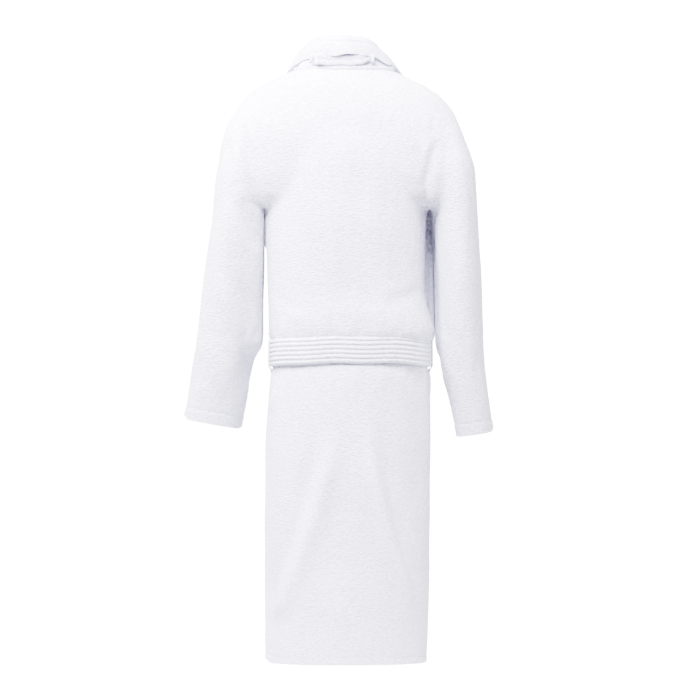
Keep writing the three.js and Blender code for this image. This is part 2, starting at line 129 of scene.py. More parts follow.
class ShaderTree:
    """A new material and the nodes that are added to it."""

    def __init__(self, name: str) -> None:
        """Starts a material of this name with an empty node tree."""
        self.material = bpy.data.materials.new(name)
        self.material.use_nodes = True
        self.nodes = self.material.node_tree.nodes
        self.links = self.material.node_tree.links
        self.nodes.clear()

    def add(self, kind: str, settings: dict, sockets: dict, out: int | str = 0) -> Wire:
        """Adds one node.

        Args:
            kind: the node's type, such as ShaderNodeTexNoise.
            settings: properties of the node, set first.
            sockets: values or wires for its inputs, by name or number.
            out: the output to return.

        Returns:
            The output as a wire.
        """
        node = self.nodes.new(kind)
        for key, value in settings.items():
            setattr(node, key, value)
        for key, value in sockets.items():
            if isinstance(value, Wire):
                self.links.new(value.socket, node.inputs[key])
            else:
                node.inputs[key].default_value = value
        return Wire(self, node.outputs[out])

    def mixed(self, share: Wire, first: tuple, second: tuple) -> Wire:
        """A colour that goes from first to second with share."""
        settings = {"data_type": "RGBA", "clamp_factor": True}
        return self.add("ShaderNodeMix", settings, {0: share, 6: first, 7: second}, 2)

    def place(self) -> Wire:
        """The place on the piece, in the robe's own frame."""
        return self.add("ShaderNodeTexCoord", {}, {}, "Object")

    def finish(self, **sockets: "Wire | float") -> Material:
        """Adds the surface shader with these sockets, named with underscores, and returns the material."""
        named = {key.replace("_", " "): value for key, value in sockets.items()}
        shader = self.add("ShaderNodeBsdfPrincipled", {}, named)
        output = self.nodes.new("ShaderNodeOutputMaterial")
        self.links.new(shader.socket, output.inputs["Surface"])
        return self.material


def rgba(colour: Sequence[float], shade: float = 1.0) -> tuple[float, float, float, float]:
    """A colour with alpha 1, darkened by shade."""
    return (colour[0] * shade, colour[1] * shade, colour[2] * shade, 1.0)


@dataclass(frozen=True)
class TerryFinish:
    """Looped cotton pile: short level tufts, finer loops between them, shade painted into the hollows
    between tufts, and a soft sheen.
    """

    name: str
    colour: tuple[float, float, float] = (0.84, 0.83, 0.97)
    tuft_length: float = 6.5 * MM
    tuft_height: float = 3.0 * MM
    loop: float = 1.5 * MM
    relief: float = 1.1 * MM
    # how dark the shade painted into the hollows between tufts makes the colour
    painted_gap_shade: float = 0.7

    def build(self) -> Material:
        """Makes the material."""
        tree = ShaderTree(self.name)
        place = tree.place()
        stretch = (1 / self.tuft_length, 1 / self.tuft_length, 1 / self.tuft_height)
        rows = tree.add("ShaderNodeMapping", {}, {"Vector": place, "Scale": stretch})
        uneven = {"Vector": rows, "Scale": 1.0, "Detail": 2.0, "Roughness": 0.55}
        tufts = tree.add("ShaderNodeTexNoise", {}, uneven)
        cells = {"Vector": place, "Scale": 1 / self.loop, "Randomness": 0.9}
        loops = tree.add("ShaderNodeTexVoronoi", {"feature": "F1"}, cells)
        wear = tree.add("ShaderNodeTexNoise", {}, {"Vector": place, "Scale": 9.0, "Detail": 3.0})
        pile = tufts * 0.75 + (1 - loops) * 0.25
        height = pile + (wear - 0.5) * 0.12
        # Painted shade: the colour is darkened where the pile is low, in the hollows between tufts, and the
        # wear noise shifts this painted shade at random over the cloth.
        span = {"Value": height, "From Min": 0.34, "From Max": 0.66, "To Min": 0.0, "To Max": 1.0}
        painted_lit_share = tree.add("ShaderNodeMapRange", {"interpolation_type": "SMOOTHSTEP"}, span)
        colour = tree.mixed(painted_lit_share, rgba(self.colour, self.painted_gap_shade), rgba(self.colour))
        bump = tree.add("ShaderNodeBump", {}, {"Height": pile, "Strength": 0.8, "Distance": self.relief * 4})
        return tree.finish(
            Base_Color=colour,
            Roughness=0.97 - painted_lit_share * 0.08,
            Normal=bump,
            Specular_IOR_Level=0.12,
            Sheen_Weight=0.25,
            Sheen_Roughness=0.6,
        )


@dataclass(frozen=True)
class ThreadFinish:
    """Twisted cotton thread."""

    name: str = "thread"
    colour: tuple[float, float, float] = (0.8, 0.8, 0.84)
    twist: float = 0.6 * MM

    def build(self) -> Material:
        """Makes the material."""
        tree = ShaderTree(self.name)
        place = tree.place()
        ply = tree.add("ShaderNodeTexNoise", {}, {"Vector": place, "Scale": 1 / self.twist, "Detail": 1.0})
        colour = tree.mixed(ply, rgba(self.colour, 0.82), rgba(self.colour))
        bump = tree.add("ShaderNodeBump", {}, {"Height": ply, "Strength": 0.3, "Distance": 0.2 * MM})
        return tree.finish(Base_Color=colour, Roughness=0.7, Normal=bump)


@dataclass(frozen=True)
class TapeFinish:
    """Smooth woven tape: fine straight threads across and along."""

    name: str = "woven_tape"
    colour: tuple[float, float, float] = (0.87, 0.87, 0.88)
    thread: float = 0.5 * MM

    def build(self) -> Material:
        """Makes the material."""
        tree = ShaderTree(self.name)
        place = tree.place()
        wave = {"Vector": place, "Scale": 0.314 / self.thread, "Distortion": 0.4}
        across = tree.add("ShaderNodeTexWave", {"bands_direction": "X"}, wave, "Fac")
        along = tree.add("ShaderNodeTexWave", {"bands_direction": "Z"}, wave, "Fac")
        weave = across * 0.5 + along * 0.5
        colour = tree.mixed(weave, rgba(self.colour, 0.9), rgba(self.colour))
        bump = tree.add("ShaderNodeBump", {}, {"Height": weave, "Strength": 0.2, "Distance": 0.2 * MM})
        return tree.finish(Base_Color=colour, Roughness=0.5 + weave * 0.1, Normal=bump)


@dataclass(frozen=True)
class FloorFinish:
    """Matt painted studio floor with a faint mottle."""

    name: str = "studio_floor"
    colour: tuple[float, float, float] = (0.88, 0.88, 0.88)

    def build(self) -> Material:
        """Makes the material."""
        tree = ShaderTree(self.name)
        place = tree.place()
        mottle = tree.add("ShaderNodeTexNoise", {}, {"Vector": place, "Scale": 3.0, "Detail": 3.0})
        colour = tree.mixed(mottle, rgba(self.colour, 0.98), rgba(self.colour))
        return tree.finish(Base_Color=colour, Roughness=0.9 - mottle * 0.1)


# ---- Meshes ---------------------------------------------------------------------------------


def new_piece(name: str, points: Points, faces: Sequence, material: Material) -> Piece:
    """Links a mesh object at the origin.

    Args:
        name: the piece's name.
        points: its vertices, in metres.
        faces: lists of vertex numbers.
        material: its finish.

    Returns:
        The object, shaded smooth.
    """
    mesh = bpy.data.meshes.new(name)
    mesh.from_pydata([tuple(p) for p in points], [], [tuple(f) for f in faces])
    mesh.materials.append(material)
    mesh.polygons.foreach_set("use_smooth", np.ones(len(mesh.polygons), bool))
    mesh.update()
    piece = bpy.data.objects.new(f"{name}_dressed", mesh)
    bpy.context.scene.collection.objects.link(piece)
    return piece


def points_of(mesh: Mesh) -> Points:
    """The vertices of a mesh as an n by 3 array."""
    flat = np.empty(len(mesh.vertices) * 3)
    mesh.vertices.foreach_get("co", flat)
    return flat.reshape(-1, 3)


def set_points(mesh: Mesh, points: Points) -> None:
    """Moves the vertices of a mesh."""
    mesh.vertices.foreach_set("co", points.ravel())
    mesh.update()


def normals_of(mesh: Mesh) -> Points:
    """The vertex normals of a mesh as an n by 3 array."""
    flat = np.empty(len(mesh.vertices) * 3)
    mesh.vertices.foreach_get("normal", flat)
    return flat.reshape(-1, 3)


def with_modifier(piece: Piece, kind: str, **settings: object) -> None:
    """Adds one modifier, applies it to the piece's mesh and removes it.

    Args:
        piece: the object.
        kind: the modifier's type.
        settings: its properties.
    """
    modifier = piece.modifiers.new(kind.lower(), kind)
    for key, value in settings.items():
        setattr(modifier, key, value)
    bake(piece)


def bake(piece: Piece) -> None:
    """Replaces a piece's mesh by what its modifiers make of it, and removes them."""
    graph = bpy.context.evaluated_depsgraph_get()
    made = bpy.data.meshes.new_from_object(piece.evaluated_get(graph))
    old = piece.data
    piece.modifiers.clear()
    piece.data = made
    made.name = old.name
    bpy.data.meshes.remove(old)
    made.polygons.foreach_set("use_smooth", np.ones(len(made.polygons), bool))
    made.update()


def thicken(piece: Piece, thickness: float, offset: float = -1.0) -> None:
    """Gives a sheet its thickness, inwards from its outer face unless offset says otherwise."""
    with_modifier(
        piece, "SOLIDIFY", thickness=thickness, offset=offset, use_rim=True, use_quality_normals=True
    )
    piece.data.set_sharp_from_angle(angle=math.radians(60))


def grid_faces(rows: int, columns: int, closed: bool) -> list[tuple[int, int, int, int]]:
    """Quads of a grid whose points run along each row; a closed grid joins its last column to its first."""
    faces = []
    for i in range(rows - 1):
        for j in range(columns if closed else columns - 1):
            k = (j + 1) % columns
            faces.append((i * columns + j, i * columns + k, (i + 1) * columns + k, (i + 1) * columns + j))
    return faces


def smooth_through(at: Points, keys: Sequence[float], values: Points) -> Points:
    """Values on a smooth curve through the given ones that never overshoots them.

    Args:
        at: where to read the curve.
        keys: rising places of the given values.
        values: one row for each key.

    Returns:
        One row for each place in at.
    """
    keys, values = np.asarray(keys, float), np.asarray(values, float)
    step = np.diff(keys)[:, None]
    slope = np.diff(values, axis=0) / step
    tangent = np.zeros_like(values)
    same = slope[1:] * slope[:-1] > 0
    total = np.where(same, slope[1:] + slope[:-1], 1.0)
    tangent[1:-1] = np.where(same, 2 * slope[1:] * slope[:-1] / total, 0.0)
    tangent[0], tangent[-1] = slope[0], slope[-1]
    i = np.clip(np.searchsorted(keys, at, side="right") - 1, 0, len(keys) - 2)
    h = step[i]
    t = ((np.asarray(at) - keys[i]) / h[:, 0])[:, None]
    return (
        (2 * t**3 - 3 * t**2 + 1) * values[i]
        + (t**3 - 2 * t**2 + t) * h * tangent[i]
        + (3 * t**2 - 2 * t**3) * values[i + 1]
        + (t**3 - t**2) * h * tangent[i + 1]
    )


def ease(low: float, high: float, value: Points) -> Points:
    """0 below low, 1 above high, and a smooth rise between."""
    t = np.clip((value - low) / (high - low), 0, 1)
    return t * t * (3 - 2 * t)


@dataclass(frozen=True)
class Ring:
    """A level superellipse: height, half width, half depth, middle and squareness. Millimetres."""

    z: float
    w: float
    d: float
    x: float = 0.0
    y: float = 0.0
    power: float = 2.4

    def row(self) -> tuple[float, ...]:
        """The ring's numbers in order."""
        return (self.z, self.w, self.d, self.x, self.y, self.power)


def lofted(rings: Sequence[Ring], levels: int = 90, around: int = 96) -> tuple[Points, list]:
    """A closed form skinned over rings, from the lowest to the highest.

    Args:
        rings: the rings, listed from the top down.
        levels: how many rings the skin has.
        around: points on each ring.

    Returns:
        Vertices in metres and faces.
    """
    table = np.array([ring.row() for ring in reversed(rings)])
    lengths = np.concatenate([[0], np.cumsum(np.linalg.norm(np.diff(table[:, :3], axis=0), axis=1))])
    z, w, d, x, y, power = smooth_through(np.linspace(0, lengths[-1], levels), lengths, table).T
    angle = np.linspace(0, 2 * math.pi, around, endpoint=False)
    c, s = np.cos(angle)[None, :], np.sin(angle)[None, :]
    bend = (2 / power)[:, None]
    px = x[:, None] + w[:, None] * np.sign(c) * np.abs(c) ** bend
    py = y[:, None] + d[:, None] * np.sign(s) * np.abs(s) ** bend
    pz = np.broadcast_to(z[:, None], px.shape)
    points = np.stack([px, py, pz], axis=2).reshape(-1, 3) * MM
    faces = grid_faces(levels, around, closed=True)
    faces.append(tuple(reversed(range(around))))
    faces.append(tuple((levels - 1) * around + i for i in range(around)))
    return points, faces


# ---- Folds ----------------------------------------------------------------------------------


@dataclass(frozen=True)
class Fold:
    """A soft ridge or hollow in hanging cloth, along a line given as (x, z) in millimetres."""

    line: Outline
    height: float
    width: float
    facing: int = 1
    hollow: float = 0.0
    start: float = 0.3
    end: float = 0.3

    def push(self, points: Points, normals: Points) -> Points:
        """How far each point moves along its normal.

        Args:
            points: the cloth's vertices, in metres.
            normals: their normals.

        Returns:
            One distance for each point, in metres.
        """
        xz = points[:, (0, 2)] / MM
        line = np.array(self.line, float)
        reach = np.concatenate([[0], np.cumsum(np.linalg.norm(np.diff(line, axis=0), axis=1))])
        nearest = np.full(len(xz), np.inf)
        across, along = np.zeros(len(xz)), np.zeros(len(xz))
        for i, (a, b) in enumerate(zip(line[:-1], line[1:])):
            run = b - a
            length = np.linalg.norm(run)
            t = np.clip((xz - a) @ run / length**2, 0, 1)
            gap = xz - a - t[:, None] * run
            far = np.linalg.norm(gap, axis=1)
            closer = far < nearest
            nearest = np.where(closer, far, nearest)
            side = np.sign(run[0] * gap[:, 1] - run[1] * gap[:, 0])
            across = np.where(closer, far * side, across)
            along = np.where(closer, (reach[i] + t * length) / reach[-1], along)
        profile = np.exp(-((across / self.width) ** 2))
        if self.hollow:
            shift = 1.7 * self.width * math.copysign(1, self.hollow)
            profile -= abs(self.hollow) * np.exp(-(((across - shift) / self.width) ** 2))
        fade = ease(0, self.start, along) * ease(0, self.end, 1 - along)
        seen = ease(-0.1, 0.45, normals[:, 1] * self.facing)
        return self.height * MM * profile * fade * seen


def ripples(points: Points, seed: int, wavelength: tuple[float, float], stretch: float) -> Points:
    """A smooth random field between about -1 and 1.

    Args:
        points: where to read it, in metres.
        seed: of the random waves.
        wavelength: shortest and longest, in millimetres.
        stretch: how much longer the waves are up and down than across.

    Returns:
        One value for each point.
    """
    draw = np.random.default_rng(seed)
    field_sum = np.zeros(len(points))
    waves = 26
    for _ in range(waves):
        direction = draw.normal(size=3) * (1, 1, 1 / stretch)
        direction *= 2 * math.pi / (draw.uniform(*wavelength) * MM * np.linalg.norm(direction))
        field_sum += np.sin(points @ direction + draw.uniform(0, 2 * math.pi))
    return field_sum / math.sqrt(waves)


# ---- The robe's cloth -----------------------------------------------------------------------


def hem_seam(y: Points) -> Points:
    """Height of the stitched edge of the skirt's hem, which rises a little towards the back."""
    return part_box("back_hem")[1].z / MM + HEM_RISE * y


def cuff_line(side: Side) -> tuple[float, float, float]:
    """Middle (x, z) and slope of the stitched edge of a cuff."""
    low, high = (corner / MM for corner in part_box(side.node("cuff_hem")))
    slope, drop = {Side.LEFT: (0.18, 15), Side.RIGHT: (0.16, 8)}[side]
    return (low.x + high.x) / 2, high.z - drop, slope


def beside_trunk(x: Points, y: Points, z: Points) -> Points:
    """Width out to the gap between trunk and sleeve, wider at the right front and below the cuffs."""
    back = np.interp(z, (-830, -780, -606, -545, -300), (999, 200, 184, 173, 168.8))
    return back + 7 * ease(30, 60, -y) * ease(-640, -560, z) * (x < 0)


@dataclass
class RobeForm:
    """The filled shape of the whole robe as it hangs, which every panel is cut from."""

    voxel: float = 4 * MM
    relax_rounds: int = 14
    yoke: tuple[Ring, ...] = (
        Ring(22, 96, 60, 10, 0),
        Ring(2, 97, 60, 10, 0),
        Ring(-6, 119, 69, 13, 2),
        Ring(-14, 134, 75, 13, 3),
        Ring(-28, 163, 86, 12, 3),
        Ring(-44, 186, 95, 10, 3),
        Ring(-60, 203, 102, 9, 3),
        Ring(-84, 221, 110, 9, 4),
        Ring(-110, 234, 115, 10, 4, 2.6),
        Ring(-148, 246, 118, 9, 4, 2.7),
        Ring(-197, 254, 118, 6, 3, 2.6),
        Ring(-245, 255, 110, 5, 2),
        Ring(-272, 244, 92, 5, 1),
    )
    trunk: tuple[Ring, ...] = (
        Ring(-66, 140, 84, 2, 5),
        Ring(-110, 163, 112, 3, 6),
        Ring(-200, 163, 126, 4, 7),
        Ring(-300, 160, 128, 6, 7),
        Ring(-400, 158, 124, 6, 6),
        Ring(-440, 158, 122, 5, 6),
        Ring(-490, 162, 123, -1, 6),
        Ring(-518, 165, 124, -6, 6),
        Ring(-535, 163, 122, -7, 6),
        Ring(-547, 154, 116, -4, 6),
        Ring(-586, 152, 114, -3, 6),
        Ring(-597, 157, 121, -3, 6, 2.05),
        Ring(-612, 160, 124, -3, 6, 2.05),
        Ring(-660, 163, 126, -1, 6, 2.05),
        Ring(-740, 166, 128, 1, 6, 2.05),
        Ring(-870, 166, 130, 2, 6, 2.05),
        Ring(-960, 165, 131, 3, 6, 2.05),
        Ring(-1060, 163.5, 133, 3, 6, 2.05),
        Ring(-1130, 162, 134, 4, 6, 2.05),
        Ring(-1188, 161, 134.5, 5, 6, 2.05),
        Ring(-1215, 161, 134.5, 5, 6, 2.05),
    )
    left_sleeve: tuple[Ring, ...] = (
        Ring(-120, 40, 80, 196, 3, 2.1),
        Ring(-200, 50, 94, 213, 2, 2.1),
        Ring(-293, 51, 90, 223, 0, 2.1),
        Ring(-413, 57, 79, 233, -5, 2.1),
        Ring(-534, 64, 66, 242, -16, 2.0),
        Ring(-606, 62, 64, 256, -28, 2.0),
        Ring(-678, 61, 62, 269, -42, 2.0),
        Ring(-760, 60, 62, 284, -60, 2.0),
    )
    right_sleeve: tuple[Ring, ...] = (
        Ring(-120, 38, 80, -190, 3, 2.1),
        Ring(-200, 48, 94, -206, 2, 2.1),
        Ring(-293, 45, 92, -215, -2, 2.1),
        Ring(-413, 44, 88, -222, -9, 2.1),
        Ring(-534, 45, 80, -226, -18, 2.0),
        Ring(-582, 45, 79, -230, -25, 2.0),
        Ring(-678, 39, 76, -248, -42, 2.0),
        Ring(-780, 37, 74, -264, -62, 2.0),
    )
    folds: tuple[Fold, ...] = (
        # creases from the shoulder blades down beside the sleeves
        Fold(((232, -66), (208, -136), (186, -227), (170, -300)), -6.5, 11, hollow=0.5, start=0.5, end=0.2),
        Fold(((-133, -146), (-150, -205), (-154, -240), (-152, -300)), -5.0, 9, hollow=-0.4),
        Fold(((-178, -132), (-165, -180), (-155, -240)), -5.5, 9, hollow=0.5),
        Fold(((-168, -95), (-166, -135)), -2.0, 6),
        # left sleeve: the break that runs from the armpit to the back of the cuff
        Fold(((214, -250), (196, -310), (180, -372)), -5.5, 14, hollow=0.5),
        Fold(((222, -385), (207, -455), (198, -520), (204, -600), (216, -670)), -9.0, 20, hollow=0.6),
        Fold(((262, -330), (252, -410), (262, -520)), -2.2, 24),
        Fold(((300, -560), (292, -640)), -2.0, 18),
        # right sleeve: long shallow breaks
        Fold(((-196, -215), (-206, -330), (-204, -470)), -3.0, 12, hollow=-0.5),
        Fold(((-232, -360), (-236, -480), (-252, -600)), 2.2, 14, hollow=0.6),
        # blousing over the belt
        Fold(
            ((140, -478), (70, -492), (-10, -486), (-90, -496), (-150, -476)), 2.5, 24, start=0.15, end=0.15
        ),
        Fold(((-150, -425), (-120, -452), (-60, -470)), -2.0, 13, hollow=0.4),
        Fold(((150, -438), (120, -468), (70, -482)), -1.6, 12, hollow=0.4),
        # two long breaks in the skirt that part from the middle towards the corners of the hem
        Fold(
            ((24, -700), (40, -790), (60, -870), (97, -979), (147, -1099)), 9.5, 19, hollow=0.7, end=0.12
        ),
        Fold(
            ((-34, -690), (-46, -780), (-62, -860), (-86, -950), (-114, -1030), (-150, -1120)),
            13.0,
            16,
            hollow=-0.8,
        ),
        Fold(((0, -960), (10, -1060), (4, -1188)), 1.6, 34, end=0.02),
        Fold(((-128, -640), (-138, -760), (-140, -900)), -1.8, 16),
        Fold(((156, -650), (159, -800), (157, -1000), (152, -1150)), -5.0, 15, start=0.1, end=0.1),
        # the front: creases from the belt's knot and under the arms
        Fold(((60, -520), (110, -440), (150, -330)), 3.0, 16, facing=-1, hollow=0.5),
        Fold(((-70, -520), (-110, -450), (-150, -350)), 3.0, 16, facing=-1, hollow=-0.5),
        Fold(((30, -610), (60, -760), (100, -960)), 3.4, 22, facing=-1, hollow=0.5),
        Fold(((-60, -610), (-80, -780), (-120, -980)), 3.4, 22, facing=-1, hollow=-0.5),
        Fold(((190, -210), (178, -270), (172, -330)), -3.5, 12, facing=-1, hollow=0.4),
        Fold(((-186, -210), (-172, -270), (-168, -330)), -3.5, 12, facing=-1, hollow=-0.4),
    )

    def build(self, material: Material) -> Piece:
        """Joins the lofts into one skin, softens it and lays the folds in.

        Args:
            material: the cloth's finish.

        Returns:
            The closed form, a working object that is removed after the panels are cut.
        """
        points, faces, start = [], [], 0
        for rings in (self.yoke, self.trunk, self.left_sleeve, self.right_sleeve):
            some, quads = lofted(rings)
            points.append(some)
            faces += [[start + i for i in quad] for quad in quads]
            start += len(some)
        form = new_piece("form", np.vstack(points), faces, material)
        with_modifier(form, "REMESH", mode="VOXEL", voxel_size=self.voxel)
        self.relax(form.data)
        self.close_up(form.data)
        self.lay_folds(form.data)
        return form

    def relax(self, mesh: Mesh) -> None:
        """Softens the joins between the lofts by averaging each point with its neighbours."""
        edges = np.empty(len(mesh.edges) * 2, int)
        mesh.edges.foreach_get("vertices", edges)
        a, b = edges.reshape(-1, 2).T
        points = points_of(mesh)
        count = np.bincount(edges, minlength=len(points))[:, None]
        for _ in range(self.relax_rounds):
            total = np.zeros_like(points)
            for axis in range(3):
                total[:, axis] += np.bincount(a, points[b, axis], len(points))
                total[:, axis] += np.bincount(b, points[a, axis], len(points))
            points += 0.55 * (total / count - points)
        set_points(mesh, points)

    def close_up(self, mesh: Mesh) -> None:
        """Brings sleeves and trunk together below the arms, and arches the waist at the back."""
        points = points_of(mesh)
        x, y, z = points.T / MM
        level = ease(-580, -540, z) * (1 - ease(-284, -264, z))
        front = ease(12, 52, -y)
        apart = beside_trunk(x, y, z)
        trunk = (x > -apart) * ease(105, 150, -x) * level * front * ease(-540, -490, z)
        left = (x > apart) * (1 - ease(apart, 235, x)) * level
        right = (x < -apart) * (1 - ease(apart, 225, -x)) * level * front
        moved = x - 42 * trunk + 12 * right - 10 * left
        clear = 0.9
        moved = np.where(trunk > 0, np.maximum(moved, np.minimum(x, clear - apart)), moved)
        moved = np.where(right > 0, np.minimum(moved, -clear - apart), moved)
        moved = np.where(left > 0, np.maximum(moved, apart + clear), moved)
        points[:, 0] = moved * MM
        waist = np.exp(-(((z + 566) / 55) ** 2)) * ease(-20, 90, y) * (np.abs(x) < 168)
        points[:, 2] += MM * 8 * waist * (1 - (x / 175) ** 2)
        set_points(mesh, points)

    def lay_folds(self, mesh: Mesh) -> None:
        """Moves the skin along its normals by the folds, the drape and the uneven pile."""
        points, normals = points_of(mesh), normals_of(mesh)
        push = sum(fold.push(points, normals) for fold in self.folds)
        z = points[:, 2] / MM
        upright = 1 - ease(-140, -60, z)
        drape = ripples(points, 7, (60, 150), 4.0) * 1.2 * MM * upright
        streaks = ripples(points, 19, (13, 30), 9.0) * 0.35 * MM * ease(-560, -420, z)
        gathers = ripples(points, 11, (22, 40), 6.0) * 1.3 * MM
        near_belt = np.exp(-(((z + 520) / 20) ** 2)) + np.exp(-(((z + 612) / 24) ** 2))
        push = push - 1.1 * MM * self.seam_sink(points)
        pile = np.random.default_rng(3).normal(0, 0.2 * MM, len(points))
        set_points(mesh, points + normals * (push + drape + streaks + gathers * near_belt + pile)[:, None])

    def seam_sink(self, points: Points) -> Points:
        """1 along the stitched edge of each hem and cuff, falling to 0 a few millimetres away."""
        x, y, z = points.T / MM
        hem = z - hem_seam(y)
        sink = np.exp(-((hem / 2.4) ** 2))
        for side in Side:
            at, level, slope = cuff_line(side)
            mine = x * side.value > beside_trunk(x, y, z)
            sink = sink + mine * np.exp(-(((z - level - side.value * slope * (x - at)) / 2.4) ** 2))
        return sink


@dataclass
class CutCloth:
    """The form's skin, sliced along every seam, from which pieces are taken."""

    points: Points
    faces: list[list[int]]
    middles: Points
    normals: Points

    @classmethod
    def sliced(cls, form: Piece, slices: Sequence[tuple]) -> "CutCloth":
        """Slices the form's skin.

        Args:
            form: the closed form.
            slices: for each seam, a point on its plane, the plane's normal, and a test of (x, y, z)
                arrays in millimetres that says where the seam runs.

        Returns:
            The sliced skin.
        """
        shape = bmesh.new()
        shape.from_mesh(form.data)
        for place, normal, where in slices:
            at, direction = Vector(place) * MM, Vector(normal).normalized()
            shape.faces.ensure_lookup_table()
            middles = np.array([face.calc_center_median() for face in shape.faces])
            near = np.abs((middles - np.array(at)) @ np.array(direction)) < 8 * MM
            chosen = [shape.faces[i] for i in np.flatnonzero(near & where(*(middles.T / MM)))]
            edges = {edge for face in chosen for edge in face.edges}
            spots = {spot for face in chosen for spot in face.verts}
            bmesh.ops.bisect_plane(
                shape, geom=[*spots, *edges, *chosen], dist=0.3 * MM, plane_co=at, plane_no=direction
            )
        shape.verts.index_update()
        points = np.array([corner.co for corner in shape.verts])
        faces = [[corner.index for corner in face.verts] for face in shape.faces]
        middles = np.array([face.calc_center_median() for face in shape.faces])
        normals = np.array([face.normal for face in shape.faces])
        shape.free()
        return cls(points, faces, middles, normals)

    def take(self, name: str, chosen: Points, material: Material) -> Piece:
        """Makes a piece of the chosen faces."""
        faces = [self.faces[i] for i in np.flatnonzero(chosen)]
        used = np.unique(np.concatenate([np.array(face) for face in faces]))
        renumber = np.full(len(self.points), -1)
        renumber[used] = np.arange(len(used))
        return new_piece(name, self.points[used], [[renumber[i] for i in face] for face in faces], material)


@dataclass
class RobeCloth:
    """Body panels, hems, sleeves and cuffs, all cut from one form."""

    material: Material
    form: RobeForm = field(default_factory=RobeForm)
    cloth: float = 3.0 * MM
    hem_cloth: float = 4.4 * MM
    under_shift: float = 5.5 * MM
    wrap_edge: float = -40.0
    under_edge: float = 95.0
    neck_edge: float = 88.0
    hem_lift: float = 5.0
    pieces: dict[str, Piece] = field(default_factory=dict)

    def __post_init__(self) -> None:
        """Reads the seam levels from the frame."""
        self.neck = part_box("back_panel")[1].z / MM
        self.hem_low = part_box("back_hem")[0].z / MM
        self.belt_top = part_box("belt_wrap")[1].z / MM
        self.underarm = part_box("left_sleeve")[0].x / MM
        self.cuff = {side: cuff_line(side) for side in Side}
        pivot = next(j for j in frame["joints"] if j["name"] == "left_sleeve_lift")["pos_m"]
        self.armhole = (pivot[0] - pivot[2]) / MM

    def front_line(self, low_x: float, sign: int) -> Callable[[Points], Points]:
        """x of a front's edge at each height, for the edge that ends at low_x under the belt."""

        def line(z: Points) -> Points:
            """x of the edge at the heights z."""
            share = np.clip((self.neck - z) / (self.neck - self.belt_top), 0, 1)
            return sign * self.neck_edge + (low_x - sign * self.neck_edge) * share

        return line

    def slices(self) -> list[tuple]:
        """Every seam plane with the stretch of cloth that it cuts."""
        arm = self.armhole
        everywhere = lambda x, y, z: np.isfinite(x)
        cuts = [
            ((0, 0, self.neck), (0, 0, 1), lambda x, y, z: np.abs(x) < 140),
            ((0, 0, self.hem_low + self.hem_lift), (0, -HEM_RISE, 1), everywhere),
            ((0, 0, float(hem_seam(0))), (0, -HEM_RISE, 1), everywhere),
            ((0, 0, 0), (0, 1, 0), lambda x, y, z: np.abs(x) < np.where(z > -260, arm + z, 190)),
        ]
        for side in Side:
            s = side.value
            mine = lambda x, y, z, s=s: s * x > self.underarm - 8
            cuts.append(((s * (arm + self.neck), 0, self.neck), (s, 0, -1), mine))
            x, z, slope = self.cuff[side]
            below = lambda x, y, z, s=s: (s * x > self.underarm) & (z < -560)
            for drop in (0, CUFF_DEPTH):
                cuts.append(((x, 0, z - drop), (-slope * s, 0, 1), below))
        for sign, low_x in ((1, self.wrap_edge), (-1, self.under_edge)):
            run = (low_x - sign * self.neck_edge, self.belt_top - self.neck)
            high = lambda x, y, z: (y < 0) & (z > self.belt_top)
            low = lambda x, y, z: (y < 0) & (z < self.belt_top)
            cuts.append(((low_x, 0, self.belt_top), (-run[1], 0, run[0]), high))
            cuts.append(((low_x, 0, self.belt_top), (1, 0, 0), low))
        return cuts

    def build(self) -> dict[str, Piece]:
        """Cuts every panel, sleeve and hem and gives each its thickness."""
        form = self.form.build(self.material)
        cut = CutCloth.sliced(form, self.slices())
        self.round_corners(cut.points)
        x, y, z = cut.middles.T / MM
        below_neck = [cut.faces[i] for i in np.flatnonzero(z < self.neck)]
        self.surface = BVHTree.FromPolygons([tuple(p) for p in cut.points], below_neck)
        on_robe = (z < self.neck) & (z > self.hem_low + self.hem_lift + HEM_RISE * y)
        in_hem = z < hem_seam(y)
        outward = cut.normals[:, 0] * np.sign(x)
        narrow = (np.abs(x) > 150) & (z < -292) & (z > -640)
        apart = beside_trunk(x, y, z) + 9 * narrow * (outward > 0.2)
        sleeve = ((np.abs(x) > apart) | (narrow & (outward < -0.2))) & (np.abs(x) - z > self.armhole)
        trunk = on_robe & ~sleeve
        self.take(cut, "back_panel", trunk & (y > 0) & ~in_hem)
        self.take(cut, "back_hem", trunk & (y > 0) & in_hem)
        wrap, under = self.front_line(self.wrap_edge, 1), self.front_line(self.under_edge, -1)
        left, right = trunk & (y < 0) & (x > wrap(z)), trunk & (y < 0) & (x < under(z))
        self.take(cut, "left_front_panel", left & ~in_hem)
        self.take(cut, "left_front_hem", left & in_hem)
        self.take(cut, "right_front_panel", right & ~in_hem)
        self.take(cut, "right_front_hem", right & in_hem)
        for side in Side:
            at, level, slope = self.cuff[side]
            line = level + side.value * slope * (x - at)
            mine = sleeve & (x * side.value > 0)
            self.take(cut, side.node("sleeve"), mine & (z > line))
            self.take(cut, side.node("cuff_hem"), mine & (z < line) & (z > line - CUFF_DEPTH))
        for name in ("right_front_panel", "right_front_hem"):
            self.tuck_under(self.pieces[name], wrap)
        for name, piece in self.pieces.items():
            if name.endswith("hem"):
                self.raise_band(piece)
            thicken(piece, self.hem_cloth if name.endswith("hem") else self.cloth)
        bpy.data.objects.remove(form)
        return self.pieces

